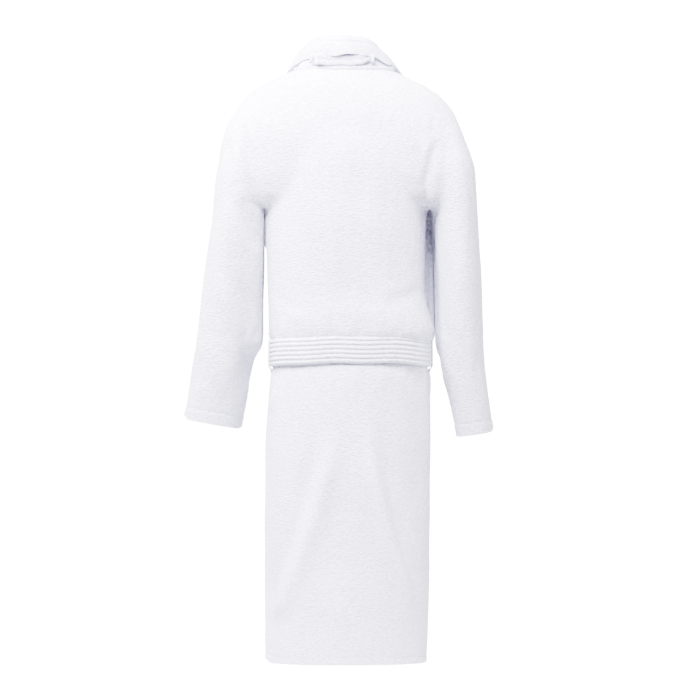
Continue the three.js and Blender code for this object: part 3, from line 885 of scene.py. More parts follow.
    def round_corners(self, points: Points) -> None:
        """Lifts the ends of the skirt's and the cuffs' lower edges, so that their corners are soft."""
        x, y, z = points.T / MM
        rise = 9
        skirt_end = ease(146, 168, np.abs(x)) ** 2 * (np.abs(x) < beside_trunk(x, y, z))
        lift = rise * skirt_end * (1 - ease(self.hem_low, self.hem_low + 45, z))
        for side in Side:
            at, level, slope = self.cuff[side]
            low, high = (corner.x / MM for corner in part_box(side.node("cuff_hem")))
            edge = level - CUFF_DEPTH + side.value * slope * (x - at)
            end = ease(0.72, 1.02, np.abs(x - at) / ((high - low) / 2)) ** 2
            mine = (x * side.value > beside_trunk(x, y, z)) & (z > edge - 5)
            lift += rise * end * mine * (1 - ease(0, 40, z - edge))
        points[:, 2] += lift * MM

    def take(self, cut: CutCloth, name: str, chosen: Points) -> None:
        """Keeps the chosen faces as one named piece."""
        self.pieces[name] = cut.take(name, chosen, self.material)

    def tuck_under(self, piece: Piece, edge: Callable[[Points], Points]) -> None:
        """Moves the right front in behind the left one where they lap."""
        points, normals = points_of(piece.data), normals_of(piece.data)
        behind = ease(-12, 2, points[:, 0] / MM - edge(points[:, 2] / MM))
        set_points(piece.data, points - normals * (behind * self.under_shift)[:, None])

    def raise_band(self, piece: Piece) -> None:
        """Lets a doubled hem stand a little proud of the single cloth."""
        points, normals = points_of(piece.data), normals_of(piece.data)
        set_points(piece.data, points + normals * 0.8 * MM)


# ---- Laying pieces on the robe --------------------------------------------------------------


@dataclass
class Skin:
    """The robe's outer surface, for laying other pieces on it. Takes and gives millimetres."""

    tree: BVHTree
    thread_lift: float = 0.4

    def front(self, x: float, z: float, height: float = 0.0) -> Points:
        """The place at (x, z) on the robe's front, moved out along the cloth's normal by height."""
        spot, normal, _, _ = self.tree.ray_cast(Vector((x, -600, z)) * MM, Vector((0, 1, 0)))
        return np.array(spot) / MM + np.array(normal) * height

    def inside_back(self, x: float, z: float, depth: float) -> Points:
        """The place at (x, z) inside the robe's back, moved in from its outer face by depth."""
        spot, normal, _, _ = self.tree.ray_cast(Vector((x, 0, z)) * MM, Vector((0, 1, 0)))
        return np.array(spot) / MM - np.array(normal) * depth

    def trunk(self, angle: float, z: float) -> Points:
        """The place on the trunk in this direction from its axis."""
        return self.around((0, TRUNK_AXIS, z), angle)

    def around(self, middle: Sequence[float], angle: float, lift: float = 0.0) -> Points:
        """The place that a level line out from the middle meets, moved out by lift."""
        way = Vector((math.cos(angle), math.sin(angle), 0))
        spot, _, _, _ = self.tree.ray_cast(Vector(middle) * MM, way)
        return np.array(spot) / MM + np.array(way) * lift

    def hem_line(self) -> Points:
        """Where the skirt hem's stitches lie."""
        spots = []
        for angle in np.linspace(math.radians(-68), math.radians(250), 400):
            guess = self.trunk(angle, float(hem_seam(0)))
            level = float(hem_seam(guess[1])) - STITCH_DROP
            spots.append(self.around((0, TRUNK_AXIS, level), angle, self.thread_lift))
        return np.array(spots)

    def cuff_stitches(self, side: Side) -> Points:
        """Where a cuff's stitches lie."""
        at, level, slope = cuff_line(side)
        low, high = (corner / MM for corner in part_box(side.node("cuff_hem")))
        axis = (at, (low.y + high.y) / 2 - 20)
        spots = []
        for angle in np.linspace(0, 2 * math.pi, 200):
            guess = self.around((*axis, level), angle)
            height = level + side.value * slope * (guess[0] - at) - STITCH_DROP
            spots.append(self.around((*axis, height), angle, self.thread_lift))
        return np.array(spots)

    def cleared(self, points: Points, heights: Points) -> Points:
        """Points lifted, where they are lower, to the given heights over the nearest cloth."""
        out = points.copy()
        for i, (point, height) in enumerate(zip(points, heights)):
            spot, normal, _, _ = self.tree.find_nearest(Vector(point) * MM, 0.06)
            if spot is None:
                continue
            spot, normal = np.array(spot) / MM, np.array(normal)
            if (point - spot) @ normal < height:
                out[i] = spot + normal * height
        return out


@dataclass(frozen=True)
class Strip:
    """A flat strip of doubled terry with channels stitched along it. Millimetres."""

    width: float
    thickness: float
    channels: int = 1
    groove: float = 0.42
    fuzz: float = 0.16

    def section(self) -> Points:
        """The strip's outline as (across, outward) pairs, right round."""
        samples = max(6, self.channels * 7) + 1
        across = -np.cos(np.linspace(0, math.pi, samples)) * 0.35 + np.linspace(-1, 1, samples) * 0.65
        rounding = (1 - np.abs(across) ** 7) ** 0.5
        seams = np.linspace(-1, 1, self.channels + 1)[1:-1]
        for seam in seams:
            rounding -= self.groove * np.exp(-(((across - seam) * self.width / 2 / 2.0) ** 2))
        outer = np.stack([across * self.width / 2, self.thickness * (0.22 + 0.78 * rounding)], axis=1)
        back = np.linspace(1, -1, 7)
        inner = np.stack([back * self.width / 2 * 0.98, self.thickness * 0.12 * back**6], axis=1)
        return np.vstack([outer, inner])

    def build(
        self,
        name: str,
        path: Points,
        across: Points,
        material: Material,
        outward: Points,
        closed: bool = False,
    ) -> Piece:
        """Sweeps the strip.

        Args:
            name: the piece's name.
            path: the middle of its inner face, in millimetres.
            across: one direction for each place on the path, over the strip's width.
            material: its finish.
            outward: the way its outer face looks at each place.
            closed: whether the strip's ends meet.

        Returns:
            The piece.
        """
        outward = outward / np.linalg.norm(outward, axis=1)[:, None]
        section = self.section()
        grid = (
            path[:, None, :]
            + section[None, :, 0, None] * across[:, None, :]
            + section[None, :, 1, None] * outward[:, None, :]
        )
        rows, columns = len(path), len(section)
        points = grid.reshape(-1, 3) + np.random.default_rng(5).normal(0, self.fuzz, (rows * columns, 3))
        faces = grid_faces(rows + 1 if closed else rows, columns, closed=True)
        faces = [tuple(i % (rows * columns) for i in face) for face in faces]
        if not closed:
            faces.append(tuple(reversed(range(columns))))
            faces.append(tuple((rows - 1) * columns + i for i in range(columns)))
        return turned_outward(new_piece(name, points * MM, faces, material))


def turned_outward(piece: Piece) -> Piece:
    """Turns a closed piece's faces outward and returns the piece."""
    shape = bmesh.new()
    shape.from_mesh(piece.data)
    bmesh.ops.recalc_face_normals(shape, faces=shape.faces)
    shape.to_mesh(piece.data)
    shape.free()
    piece.data.update()
    return piece


# ---- Collar ---------------------------------------------------------------------------------


@dataclass
class ShawlCollar:
    """Stand, and the fall that runs on into both lapels in one piece. Millimetres."""

    skin: Skin
    material: Material
    thickness: float = 6.0
    crease: float = 21.0
    crease_depth: float = 2.2
    rows: int = 420
    inner_columns: int = 7
    outer_columns: int = 34
    left_back: tuple = (
        ((9, 53, 71.5), (9, 75, 28.5)),
        ((34, 49, 70.5), (46, 68, 28)),
        ((56, 34, 68), (78, 49, 24)),
        ((65, 8, 67), (103, 8, 16)),
        ((76, -22, 44), (121, -26, 1)),
        ((84, -42, 8), (140, -58, -22)),
    )
    right_back: tuple = (
        ((-16, 49, 70.5), (-28, 68, 28.5)),
        ((-38, 34, 66), (-58, 49, 25)),
        ((-46, 8, 60), (-82, 10, 17)),
        ((-62, -22, 44), (-100, -26, 2)),
        ((-78, -42, 8), (-124, -58, -22)),
    )
    left_front: tuple = (
        (-30, (152, -64)),
        (-80, (147, -108)),
        (-150, (127, -172)),
        (-250, (98, -266)),
        (-350, (68, -360)),
        (-450, (36, -455)),
        (-540, (4, -540)),
    )
    right_front: tuple = (
        (-30, (-146, -64)),
        (-80, (-138, -108)),
        (-150, (-112, -172)),
        (-250, (-76, -266)),
        (-350, (-37, -360)),
        (-450, (8, -460)),
    )

    def front_rows(self, cloth: "RobeCloth", stations: tuple, side: Side) -> list[tuple]:
        """Roll, edge and underside places for the stations that lie on a front."""
        s = side.value
        low = cloth.wrap_edge if side is Side.LEFT else cloth.under_edge
        edge = cloth.front_line(low, s)
        rows = []
        for z, (x, fall_z) in stations:
            roll_x = float(edge(np.array(z)))
            on_cloth = self.skin.front(roll_x, z)
            roll = on_cloth + (-4.5 * s, -8.5, 0)
            under = on_cloth + (-4.0 * s, -0.5, 0)
            rows.append((under, roll, self.skin.front(x, fall_z, 4.0)))
        return rows

    def back_rows(self, stations: tuple) -> list[tuple]:
        """Roll, edge and underside places for the stations round the neck."""
        rows = []
        for roll, fall in stations:
            roll, fall = np.array(roll, float), np.array(fall, float)
            share = ease(0, 60, roll[2])
            inward = (np.array((9, 4, 0)) - roll) * (1, 1, 0)
            inward /= np.linalg.norm(inward)
            rows.append((roll + inward * (4 + 5 * share) - (0, 0, 8 + 20 * share), roll, fall))
        return rows

    def build(self, cloth: "RobeCloth") -> tuple[Piece, Points]:
        """Sweeps the collar from the left lapel's tip round the neck to the right lapel's.

        Args:
            cloth: the robe's panels, for the lines of their edges.

        Returns:
            The piece, and the line of its crease for the stitches.
        """
        left = self.back_rows(self.left_back) + self.front_rows(cloth, self.left_front, Side.LEFT)
        right = self.back_rows(self.right_back) + self.front_rows(cloth, self.right_front, Side.RIGHT)
        table = np.array(left[::-1] + right).reshape(-1, 9)
        lengths = np.concatenate([[0], np.cumsum(np.linalg.norm(np.diff(table[:, 3:6], axis=0), axis=1))])
        at = np.linspace(0, lengths[-1], self.rows)
        table = smooth_through(at, lengths, table)
        for _ in range(50):
            table[1:-1] += 0.3 * (table[2:] + table[:-2] - 2 * table[1:-1])
        under, roll, fall = table[:, :3], table[:, 3:6], table[:, 6:]
        middle = lengths[len(left) - 1]
        self.wave(fall, at - middle)
        grid = self.sections(under, roll, fall)
        shape = self.laid(grid)
        crease = self.press_crease(shape)
        columns = shape.shape[1]
        faces = grid_faces(self.rows, columns, closed=False)
        spots = shape.reshape(-1, 3)
        turn = int(np.abs(at - middle).argmin()) * columns
        faces = [face for face in faces if face[0] < turn or not self.hidden(spots[list(face)], cloth)]
        points = spots + np.random.default_rng(9).normal(0, 0.14, (self.rows * columns, 3))
        piece = new_piece("shawl_collar", points * MM, faces, self.material)
        thicken(piece, self.thickness * MM, 0.0)
        return turned_outward(piece), crease

    def wave(self, fall: Points, run: Points) -> None:
        """Lets the fall's free edge wander up and down where it stands clear of the back."""
        swing = 1.5 * np.sin(run / 5.6 + 0.6) + 1.3 * np.sin(run / 9.3) + 1.0 * np.sin(run / 3.4 + 2)
        free = ease(0, 30, fall[:, 1])
        fall[:, 2] += swing * free
        fall[:, 1] += 0.9 * np.sin(run / 7.1 + 1) * free

    def sections(self, under: Points, roll: Points, fall: Points) -> Points:
        """The grid of points across every row, rounded over the roll and bowed outwards."""
        down = np.linspace(0, 1, self.inner_columns)[None, :-1, None]
        inner = under[:, None] + (roll - under)[:, None] * down
        over = np.linspace(0, 1, self.outer_columns)[None, :, None]
        outer = roll[:, None] + (fall - roll)[:, None] * over
        away = np.cross(fall - roll, np.gradient(roll, axis=0))
        away /= np.linalg.norm(away, axis=1)[:, None]
        bow = 4.5 + 6.0 * ease(0, 60, roll[:, 0])
        outer += away[:, None] * (bow[:, None, None] * 4 * over * (1 - over))
        grid = np.concatenate([inner, outer], axis=1)
        for _ in range(14):
            grid[:, 1:-1] += 0.25 * (grid[:, 2:] + grid[:, :-2] - 2 * grid[:, 1:-1])
        return grid

    def laid(self, grid: Points) -> Points:
        """The grid with its outer part lifted clear of shoulders and fronts."""
        rows, columns = grid.shape[:2]
        first = self.inner_columns + 4
        heights = np.broadcast_to(np.linspace(5.5, 3.6, columns - first), (rows, columns - first))
        lower = grid[:, first:].reshape(-1, 3)
        grid[:, first:] = self.skin.cleared(lower, heights.ravel()).reshape(rows, -1, 3)
        for _ in range(6):
            grid[1:-1] += 0.2 * (grid[2:] + grid[:-2] - 2 * grid[1:-1])
        return grid

    def press_crease(self, grid: Points) -> Points:
        """Sinks a stitched crease at one distance from the roll and returns its line."""
        start = self.inner_columns - 1
        outer = grid[:, start:]
        steps = np.linalg.norm(np.diff(outer, axis=1), axis=2)
        reach = np.concatenate([np.zeros((len(grid), 1)), np.cumsum(steps, axis=1)], axis=1)
        away = np.cross(np.gradient(outer, axis=1), np.gradient(outer, axis=0))
        away /= np.linalg.norm(away, axis=2)[:, :, None]
        sink = np.exp(-(((reach - self.crease) / 2.2) ** 2)) + 0.7 * np.exp(-(((reach - 3) / 2.5) ** 2))
        outer -= away * (self.crease_depth * sink)[:, :, None]
        nearest = np.abs(reach - self.crease).argmin(axis=1)
        rows = np.arange(len(grid))
        return outer[rows, nearest] + away[rows, nearest] * (self.thickness / 2 + 0.1)

    @staticmethod
    def hidden(spots: Points, cloth: "RobeCloth") -> bool:
        """Whether a face of the right lapel would lie under the left front."""
        x, y, z = spots.mean(axis=0)
        return bool(y < -60 and x > cloth.front_line(cloth.wrap_edge, 1)(np.array(z)) - 5)

    def build_stand(self) -> Piece:
        """Makes the band that stands up from the neck seam inside the fall."""
        levels, around = 22, 120
        rise = np.linspace(0, 1, levels)[:, None]
        angle = np.linspace(math.radians(-14), math.radians(194), around)[None, :]
        bend = 2 / 2.3
        wide, deep = 94 - 29 * rise, 58 - 12 * rise
        x = 9 + wide * np.sign(np.cos(angle)) * np.abs(np.cos(angle)) ** bend
        y = 1 + 3 * rise + deep * np.sign(np.sin(angle)) * np.abs(np.sin(angle)) ** bend
        z = 1.5 + (60 - 18 * ease(0.3, 1, -np.cos(angle))) * rise
        points = np.stack([x, y, z], axis=2).reshape(-1, 3)
        points += np.random.default_rng(12).normal(0, 0.14, points.shape)
        faces = grid_faces(levels, around, closed=False)
        piece = new_piece("collar_stand", points * MM, faces, self.material)
        thicken(piece, 4.5 * MM, 0.0)
        return turned_outward(piece)


@dataclass
class NeckTrim:
    """Hanger loop, its sewn ends, the tape over the neck seam and the care label. Millimetres."""

    skin: Skin
    material: Material
    label_material: Material
    up: tuple[float, float, float] = (0, 0, 1)

    def build_loop(self) -> Piece:
        """A strip across the back of the neck that stands off it between its sewn ends."""
        low, high = corners("hanger_loop")
        share = np.linspace(0, 1, 70)
        x = high[0] + (low[0] - high[0]) * share
        bow = ease(0, 0.08, share) * ease(0, 0.2, 1 - share)
        y = low[1] - 6 + (high[1] - 2 - low[1]) * bow
        z = (low[2] + high[2]) / 2 + 2.5 - 1.5 * np.sin(math.pi * share) + 0.8 * np.sin(share * 17)
        z += 8 * ease(0.84, 1, share)
        path = np.stack([x, y, z], axis=1)
        return self.upright(Strip(high[2] - low[2], 4.0, channels=2), "hanger_loop", path)

    def build_tack(self, name: str) -> Piece:
        """A sewn-down end of the loop, as a firm pad between loop and stand."""
        low, high = corners(name)
        x = np.linspace(high[0] - 1, low[0] + 1, 12)
        path = np.stack([x, np.full(12, high[1] - 9.0), np.full(12, (low[2] + high[2]) / 2 + 4)], axis=1)
        return self.upright(Strip(high[2] - low[2] - 4, 6.0), name, path)

    def upright(self, strip: Strip, name: str, path: Points) -> Piece:
        """Builds a strip that stands on edge and looks straight back."""
        up = np.broadcast_to(self.up, path.shape)
        return strip.build(name, path, up, self.material, outward=up[:, (0, 2, 1)])

    def build_tape(self) -> Piece:
        """The narrow self-binding that covers the neck seam behind the collar."""
        angle = np.linspace(math.radians(12), math.radians(168), 90)
        x = 9 + 100 * np.sign(np.cos(angle)) * np.abs(np.cos(angle)) ** 0.87
        y = 1 + 62 * np.abs(np.sin(angle)) ** 0.87
        path = np.stack([x, y, np.full(90, 3.0)], axis=1)
        up = np.broadcast_to(self.up, (90, 3))
        away = path - (9, 1, 3.0)
        return Strip(8, 3.0).build("neck_binding", path, up, self.material, outward=away)

    def build_label(self) -> Piece:
        """A blank woven label inside the back of the neck."""
        low, high = corners("care_label")
        rows, columns = 18, 28
        points = []
        for z in np.linspace(high[2], low[2], rows):
            curl = 1.5 * ease(0, 1, (high[2] - z) / (high[2] - low[2])) ** 2
            across = np.linspace(high[0], low[0], columns)
            points += [self.skin.inside_back(x, z, 5.2 + curl) for x in across]
        faces = grid_faces(rows, columns, closed=False)
        piece = new_piece("care_label", np.array(points) * MM, faces, self.label_material)
        thicken(piece, 0.8 * MM, 0.0)
        return turned_outward(piece)


# ---- Belt and pockets -----------------------------------------------------------------------


@dataclass
class Belt:
    """The tied belt: the wrap, the knot, two hanging ends and two loops at the side seams."""

    skin: Skin
    material: Material
    channels: int = 6
    thickness: float = 8.0
    lift: float = 3.0
    inset: float = 8.5  # how far the knot's middle line lies inside its box

    def __post_init__(self) -> None:
        """Reads the belt's level and width from the frame."""
        low, high = corners("belt_wrap")
        self.level, self.width = (low[2] + high[2]) / 2, high[2] - low[2]

    def middle(self, x: Points, y: Points) -> Points:
        """Height of the belt's middle, which rides up over the small of the back."""
        rise = 9 * (1 - (x / 175) ** 2) + 2.5 * np.exp(-(((x + 110) / 40) ** 2))
        return self.level + (rise + 0.8 * np.sin(x / 17)) * ease(-30, 60, y)

    def ring_path(self) -> Points:
        """The line that the belt's inner face follows round the waist."""
        samples = 300
        angles = np.linspace(0, 2 * math.pi, samples, endpoint=False)
        path = np.array([self.skin.trunk(a, self.level) for a in angles])
        for _ in range(30):
            path += 0.3 * (np.roll(path, 1, axis=0) + np.roll(path, -1, axis=0) - 2 * path)
        away = path - (0, TRUNK_AXIS, self.level)
        away /= np.linalg.norm(away, axis=1)[:, None]
        path = path + away * self.lift
        path[:, 2] = self.middle(path[:, 0], path[:, 1])
        self.reach = {side: (path[:, 0] * side.value).max() for side in Side}
        return path

    def build_wrap(self) -> Piece:
        """The belt round the waist."""
        path = self.ring_path()
        up = np.broadcast_to((0, 0, -1.0), path.shape)
        away = (path - (0, TRUNK_AXIS, 0)) * (1, 1, 0)
        strip = Strip(self.width, self.thickness, self.channels)
        return strip.build("belt_wrap", path, up, self.material, closed=True, outward=away)

    def build_knot(self) -> Piece:
        """The knot: one turn of the belt pulled down over the wrap."""
        low, high = corners("belt_knot")
        centre, half = (low + high) / 2, (high - low) / 2
        samples = 120
        angle = np.linspace(0, 2 * math.pi, samples, endpoint=False)
        c, s = np.cos(angle), np.sin(angle)
        y = centre[1] + (half[1] - self.inset) * np.sign(c) * np.abs(c) ** 0.75
        z = centre[2] + (half[2] - self.inset) * np.sign(s) * np.abs(s) ** 0.75
        x = centre[0] + 5 * s + 2 * np.sin(2 * angle)
        path = np.stack([x, y, z], axis=1)
        away = path - centre
        away[:, 0] = 0
        across = np.broadcast_to((1.0, 0, 0), path.shape)
        strip = Strip(2 * half[0] - 10, self.thickness, self.channels)
        return strip.build("belt_knot", path, across, self.material, closed=True, outward=away)

    def build_knot_core(self) -> Piece:
        """The gathered belt inside the knot."""
        low, high = corners("belt_knot")
        samples = 24
        x = np.linspace(high[0] - 3, low[0] + 3, samples)
        y = np.full(samples, high[1] - self.inset)
        z = np.full(samples, (low[2] + high[2]) / 2)
        squeeze = 1 - 0.25 * np.abs(np.linspace(-1, 1, samples)) ** 3
        path = np.stack([x, y, z], axis=1)
        across = np.stack([0 * squeeze, 0 * squeeze, squeeze], axis=1)
        outward = np.broadcast_to((0, -1.0, 0), path.shape)
        room = 2 * self.inset
        strip = Strip(high[2] - low[2] - room, high[1] - low[1] - room, 3, groove=0.12)
        return strip.build("belt_knot_core", path, across, self.material, outward=outward)

    def build_tail(self, side: Side) -> Piece:
        """One hanging end, from inside the knot down to its stitched tip."""
        low, high = corners(side.node("belt_tail"))
        share = np.linspace(0, 1, 130)
        half = 25
        ends = (low[0] + half, high[0] - half)
        near, far = ends[:: side.value]
        x = near + (far - near) * share**1.3 + 2.5 * np.sin(share * 7) * share
        z = high[2] + 6 + (low[2] - high[2] - 6) * share
        y = high[1] - 1.0 + (low[1] - high[1] + self.thickness + 1.5) * share
        y += 1.5 * np.sin(share * 9) * share
        path = np.stack([x, y, z], axis=1)
        turn = 0.10 * np.sin(share * 5.0) * share * side.value
        across = np.stack([np.cos(turn), np.sin(turn), 0 * share], axis=1)
        outward = np.stack([np.sin(turn), -np.cos(turn), 0 * share], axis=1)
        strip = Strip(2 * half, self.thickness - 0.5, self.channels)
        return strip.build(side.node("belt_tail"), path, across, self.material, outward=outward)

    def build_side_loop(self, side: Side) -> Piece:
        """A narrow loop at the side seam, over the belt."""
        low, high = corners(side.node("belt_loop"))
        samples = 60
        y = np.full(samples, TRUNK_AXIS)
        z = np.linspace(high[2], low[2] + 9, samples)
        angle = 0.0 if side is Side.LEFT else math.pi
        x = np.array([abs(self.skin.trunk(angle, level)[0]) for level in z]) - 0.3
        over_belt = np.abs(z - self.middle(x, y)) < self.width / 2 + 2
        x = np.where(over_belt, self.reach[side] + self.thickness - 1.6, x)
        for _ in range(4):
            x[1:-1] += 0.3 * (x[2:] + x[:-2] - 2 * x[1:-1])
        s = side.value
        path = np.stack([s * x, y, z], axis=1)
        across = np.broadcast_to((0, 1.0, 0), path.shape)
        outward = np.broadcast_to((s, 0.0, 0), path.shape)
        strip = Strip(14, 4.0, 2, fuzz=0.08)
        return strip.build(side.node("belt_loop"), path, across, self.material, outward=outward)


@dataclass
class Pocket:
    """A patch pocket on one front, with a deep hem along its mouth. Millimetres."""

    skin: Skin
    side: Side
    material: Material
    room: float = 11.0
    cloth: float = 3.0

    def __post_init__(self) -> None:
        """Reads the pocket's sizes from the frame."""
        low, high = corners(self.side.node("pocket"))
        self.across = (low[0], high[0])
        self.low, self.hem_low = low[2], high[2]
        self.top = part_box(self.side.node("pocket_hem"))[1].z / MM

    def patch(self, name: str, top: float, low: float, proud: float) -> Piece:
        """Lays a piece of cloth between two heights, slack towards the mouth."""
        rows, columns = max(8, int((top - low) / 4)), 34
        points = []
        for z in np.linspace(top, low, rows):
            down = (self.top - z) / (self.top - self.low)
            for share in np.linspace(0, 1, columns):
                slack = self.room * math.sin(math.pi * share) ** 0.8 * (1 - 0.85 * down) ** 1.2
                x = self.across[0] + (self.across[1] - self.across[0]) * share
                points.append(self.skin.front(x, z, 2.0 + slack + proud))
        points = np.array(points) + np.random.default_rng(21).normal(0, 0.12, (rows * columns, 3))
        piece = new_piece(name, points * MM, grid_faces(rows, columns, closed=False), self.material)
        thicken(piece, (self.cloth + proud) * MM, 0.0)
        return turned_outward(piece)

    def build(self) -> dict[str, Piece]:
        """The pocket's bag and its hem, by node."""
        bag, hem = self.side.node("pocket"), self.side.node("pocket_hem")
        return {
            bag: self.patch(bag, self.hem_low - 0.4, self.low, 0.0),
            hem: self.patch(hem, self.top, self.hem_low + 0.2, 0.7),
        }


# ---- Stitches -------------------------------------------------------------------------------


@dataclass
class Stitching:
    """Runs of thread, made by one tree of Geometry Nodes along given lines."""

    material: Material
    pitch: float = 3.6 * MM
    length: float = 2.8 * MM
    thread: float = 0.75 * MM

    def __post_init__(self) -> None:
        """Builds the tree."""
        self.group = bpy.data.node_groups.new("stitches", "GeometryNodeTree")
        face = self.group.interface
        face.new_socket("Geometry", in_out="INPUT", socket_type="NodeSocketGeometry")
        for name in ("Pitch", "Length", "Thread"):
            face.new_socket(name, in_out="INPUT", socket_type="NodeSocketFloat")
        face.new_socket("Material", in_out="INPUT", socket_type="NodeSocketMaterial")
        face.new_socket("Geometry", in_out="OUTPUT", socket_type="NodeSocketGeometry")
        given = self.node("NodeGroupInput", {}, {}).outputs
        line = self.node("GeometryNodeMeshToCurve", {}, {"Mesh": given["Geometry"]}).outputs[0]
        spaced = self.node(
            "GeometryNodeCurveToPoints", {"mode": "LENGTH"}, {"Curve": line, "Length": given["Pitch"]}
        ).outputs
        round_off = {"Segments": 6, "Rings": 4, "Radius": 0.5}
        ball = self.node("GeometryNodeMeshUVSphere", {}, round_off).outputs[0]
        size = self.node(
            "ShaderNodeCombineXYZ", {}, {"X": given["Thread"], "Y": given["Thread"], "Z": given["Length"]}
        ).outputs[0]
        placed = self.node(
            "GeometryNodeInstanceOnPoints",
            {},
            {"Points": spaced["Points"], "Instance": ball, "Rotation": spaced["Rotation"], "Scale": size},
        ).outputs[0]
        solid = self.node("GeometryNodeRealizeInstances", {}, {"Geometry": placed}).outputs[0]
        smooth = self.node("GeometryNodeSetShadeSmooth", {}, {"Geometry": solid}).outputs[0]
        done = self.node("GeometryNodeSetMaterial", {}, {"Geometry": smooth, "Material": given["Material"]})
        self.node("NodeGroupOutput", {}, {"Geometry": done.outputs[0]})

    def node(self, kind: str, settings: dict, sockets: dict) -> bpy.types.Node:
        """Adds one node to the tree.

        Args:
            kind: the node's type.
            settings: properties of the node, set first.
            sockets: values or other nodes' outputs for its inputs.

        Returns:
            The node.
        """
        node = self.group.nodes.new(kind)
        for key, value in settings.items():
            setattr(node, key, value)
        for key, value in sockets.items():
            if isinstance(value, bpy.types.NodeSocket):
                self.group.links.new(value, node.inputs[key])
            else:
                node.inputs[key].default_value = value
        return node

    def sew(self, name: str, line: Points) -> Piece:
        """Sets one run of stitches along a line of places in millimetres."""
        mesh = bpy.data.meshes.new(name)
        edges = [(i, i + 1) for i in range(len(line) - 1)]
        mesh.from_pydata([tuple(p * MM) for p in line], edges, [])
        piece = bpy.data.objects.new(name, mesh)
        bpy.context.scene.collection.objects.link(piece)
        modifier = piece.modifiers.new("stitches", "NODES")
        modifier.node_group = self.group
        values = {"Pitch": self.pitch, "Length": self.length, "Thread": self.thread}
        values["Material"] = self.material
        for item in self.group.interface.items_tree:
            if item.in_out == "INPUT" and item.name in values:
                modifier[item.identifier] = values[item.name]
        bake(piece)
        return piece


# ---- Studio ---------------------------------------------------------------------------------


@dataclass
class Studio:
    """Floor, soft light and the camera behind the robe."""

    distance: float = 6.0
    frame_width: float = 1.4042
    aim: tuple[float, float] = (-0.003, -0.5577)
    floor_level: float = -1.42
    floor_radius: float = 1.15
    sky_light: float = 0.25
    sky_seen: float = 20.0
    light_colour: tuple[float, float, float] = (0.93, 0.92, 1.0)

    def build(self, floor_material: Material) -> None:
        """Makes the camera, the lights, the sky and the floor."""
        self.add_camera()
        self.add_light("key", (0.56, 1.4, 1.4), 1.0, 690)
        self.add_light("left", (1.6, 0.4, 1.2), 1.0, 330)
        self.add_light("right", (-2.4, 0.6, 0.8), 1.6, 250)
        self.add_light("front", (0.8, -4.0, 0.8), 2.6, 700)
        self.add_sky()
        self.add_floor(floor_material)

    def add_camera(self) -> None:
        """Looks at the robe's back, level and square on."""
        data = bpy.data.cameras.new("camera")
        data.lens = data.sensor_width * self.distance / self.frame_width
        camera = bpy.data.objects.new("camera", data)
        camera.location = (self.aim[0], self.distance, self.aim[1])
        camera.rotation_euler = (math.pi / 2, 0, math.pi)
        bpy.context.scene.collection.objects.link(camera)
        bpy.context.scene.camera = camera

    def add_light(self, name: str, place: tuple, size: float, power: float) -> None:
        """Adds a large soft light that faces the robe."""
        data = bpy.data.lights.new(name, "AREA")
        data.size, data.energy, data.color = size, power, self.light_colour
        light = bpy.data.objects.new(name, data)
        light.location = place
        toward = Vector((0, 0, -0.5)) - Vector(place)
        light.rotation_euler = toward.to_track_quat("-Z", "Y").to_euler()
        bpy.context.scene.collection.objects.link(light)

    def add_sky(self) -> None:
        """Even pale light from all round, in front of a backdrop that reads as plain white."""
        world = bpy.data.worlds.new("studio")
        world.use_nodes = True
        nodes, links = world.node_tree.nodes, world.node_tree.links
        path = nodes.new("ShaderNodeLightPath")
        strength = nodes.new("ShaderNodeMix")
        strength.inputs[2].default_value = self.sky_light
        strength.inputs[3].default_value = self.sky_seen
        links.new(path.outputs["Is Camera Ray"], strength.inputs[0])
        background = nodes["Background"]
        background.inputs["Color"].default_value = (1, 1, 1, 1)
        links.new(strength.outputs[0], background.inputs["Strength"])
        bpy.context.scene.world = world

    def add_floor(self, material: Material) -> None:
        """A round pale floor below the robe."""
        around = 96
        angle = np.linspace(0, 2 * math.pi, around, endpoint=False)
        rim = np.stack([np.cos(angle), np.sin(angle), np.zeros(around)], axis=1) * self.floor_radius
        rows = [rim * (1, 1, 0) + (0, 0, self.floor_level - 0.02), rim + (0, 0, self.floor_level)]
        faces = grid_faces(2, around, closed=True)
        faces.append(tuple(reversed(range(around))))
        faces.append(tuple(range(around, 2 * around)))
        new_piece("floor", np.vstack(rows), faces, material)


@dataclass(frozen=True)
class Cut:
    """One piece's cloth as it is cut out flat, in metres, and how the robe holds it."""

    width: float
    length: float
    held: str = "hung"
    rests_on: tuple[str, ...] = ()
    area: float | None = None

    def declare(self, piece: Piece) -> None:
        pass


FRONTS = ("left_front_panel", "right_front_panel")
CUTS: dict[str, Cut] = {
    "back_panel": Cut(0.56, 1.24, rests_on=("collar_stand",), area=0.60),
    "back_hem": Cut(0.02, 0.44, rests_on=("back_panel",)),
    "left_front_panel": Cut(0.36, 1.22, rests_on=("back_panel",), area=0.31),
    "right_front_panel": Cut(0.38, 1.22, rests_on=("back_panel",), area=0.35),
    "left_front_hem": Cut(0.02, 0.25, rests_on=("left_front_panel",)),
    "right_front_hem": Cut(0.02, 0.30, rests_on=("right_front_panel",)),
    "shawl_collar": Cut(0.083, 1.40, "folded", ("collar_stand", *FRONTS)),
    "collar_stand": Cut(0.065, 0.26, rests_on=("back_panel",)),
    "hanger_loop": Cut(0.024, 0.125, rests_on=("left_hanger_tack", "right_hanger_tack")),
    "neck_binding": Cut(0.01, 0.22, rests_on=("collar_stand",)),
    "care_label": Cut(0.053, 0.038, rests_on=("back_panel",)),
    "belt_wrap": Cut(0.056, 0.92, "gathered", ("back_panel", *FRONTS)),
    "belt_knot": Cut(0.056, 0.12, "folded", ("belt_wrap",)),
    "belt_knot_core": Cut(0.05, 0.08, "folded", ("belt_wrap",)),
}
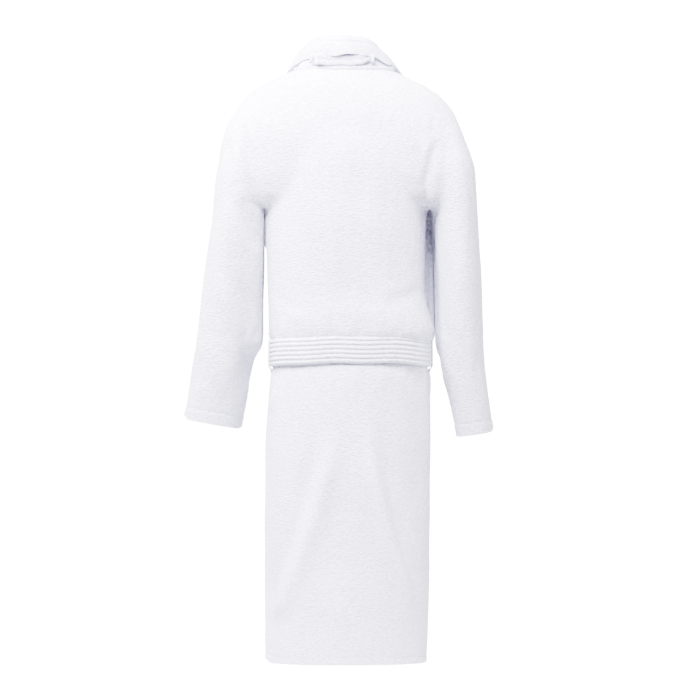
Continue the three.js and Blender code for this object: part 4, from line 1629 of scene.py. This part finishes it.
for side in Side:
    CUTS |= {
        side.node("sleeve"): Cut(0.42, 0.52, rests_on=("back_panel", side.node("front_panel")), area=0.20),
        side.node("cuff_hem"): Cut(0.034, 0.31, rests_on=(side.node("sleeve"),)),
        side.node("hanger_tack"): Cut(0.012, 0.022, "folded", ("collar_stand",)),
        side.node("belt_tail"): Cut(0.053, 0.41, rests_on=("belt_knot",)),
        side.node("belt_loop"): Cut(0.014, 0.10, rests_on=(side.node("front_panel"),)),
        side.node("pocket"): Cut(0.14, 0.155, "laid", (side.node("front_panel"),)),
        side.node("pocket_hem"): Cut(0.035, 0.14, "laid", (side.node("pocket"),)),
    }


def bend_at_armhole(sleeve: Piece, side: Side) -> None:
    """Reads the sleeve's hinge from the frame and bakes the sleeve's placement into its mesh.

    Args:
        sleeve: the sleeve's finished cloth.
        side: which sleeve it is.
    """
    pivot = next(j for j in frame["joints"] if j["name"] == side.node("sleeve_lift"))["pos_m"]
    side.node("sleeve")
    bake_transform(sleeve)


def declare(piece: Piece, body: str, nodes: Sequence[str] = ()) -> None:
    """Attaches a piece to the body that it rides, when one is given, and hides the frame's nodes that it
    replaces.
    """
    if body:
        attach(piece, body)
    name = piece.name.removesuffix("_dressed")
    if name in CUTS:
        CUTS[name].declare(piece)
    if nodes:
        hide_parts(*nodes)
    LOG.info("%s: %d faces", piece.name, len(piece.data.polygons))


def main() -> None:
    """Builds the robe and its studio, and declares every piece."""
    logging.basicConfig(level=logging.INFO, format="%(name)s: %(message)s")
    terry = TerryFinish("terry").build()
    collar_terry = TerryFinish("collar_terry", tuft_length=6 * MM, tuft_height=3.4 * MM).build()
    belt_terry = TerryFinish("belt_terry", tuft_length=5 * MM, tuft_height=3 * MM).build()
    thread = ThreadFinish().build()
    cloth = RobeCloth(terry)
    panels = cloth.build()
    for side in Side:
        sleeve, cuff = side.node("sleeve"), side.node("cuff_hem")
        bend_at_armhole(panels[sleeve], side)
        declare(panels.pop(sleeve), "", [sleeve])
        declare(panels.pop(cuff), sleeve, [cuff])
    for name, piece in panels.items():
        declare(piece, "robe_body", [name])
    skin = Skin(cloth.surface)
    collar = ShawlCollar(skin, collar_terry)
    fall, crease = collar.build(cloth)
    declare(fall, "robe_body", ["collar_fall", "left_lapel", "right_lapel"])
    declare(collar.build_stand(), "robe_body", ["collar_stand"])
    trim = NeckTrim(skin, collar_terry, TapeFinish().build())
    declare(trim.build_loop(), "hanger", ["hanger_loop"])
    for side in Side:
        name = side.node("hanger_tack")
        declare(trim.build_tack(name), "robe_body", [name])
    declare(trim.build_tape(), "robe_body")
    declare(trim.build_label(), "robe_body", ["care_label"])
    belt = Belt(skin, belt_terry)
    declare(belt.build_wrap(), "robe_body", ["belt_wrap"])
    declare(belt.build_knot(), "robe_body", ["belt_knot"])
    declare(belt.build_knot_core(), "robe_body")
    for side in Side:
        declare(belt.build_tail(side), side.node("tail"), [side.node("belt_tail")])
        declare(belt.build_side_loop(side), "robe_body", [side.node("belt_loop")])
        for node, piece in Pocket(skin, side, terry).build().items():
            declare(piece, "robe_body", [node])
    stitching = Stitching(thread)
    declare(stitching.sew("collar_stitches", crease), "robe_body")
    declare(stitching.sew("hem_stitches", skin.hem_line()), "robe_body")
    for side in Side:
        seam = stitching.sew(side.node("cuff_stitches"), skin.cuff_stitches(side))
        declare(seam, side.node("sleeve"))
    Studio().build(FloorFinish().build())


if __name__ == "__main__":
    main()
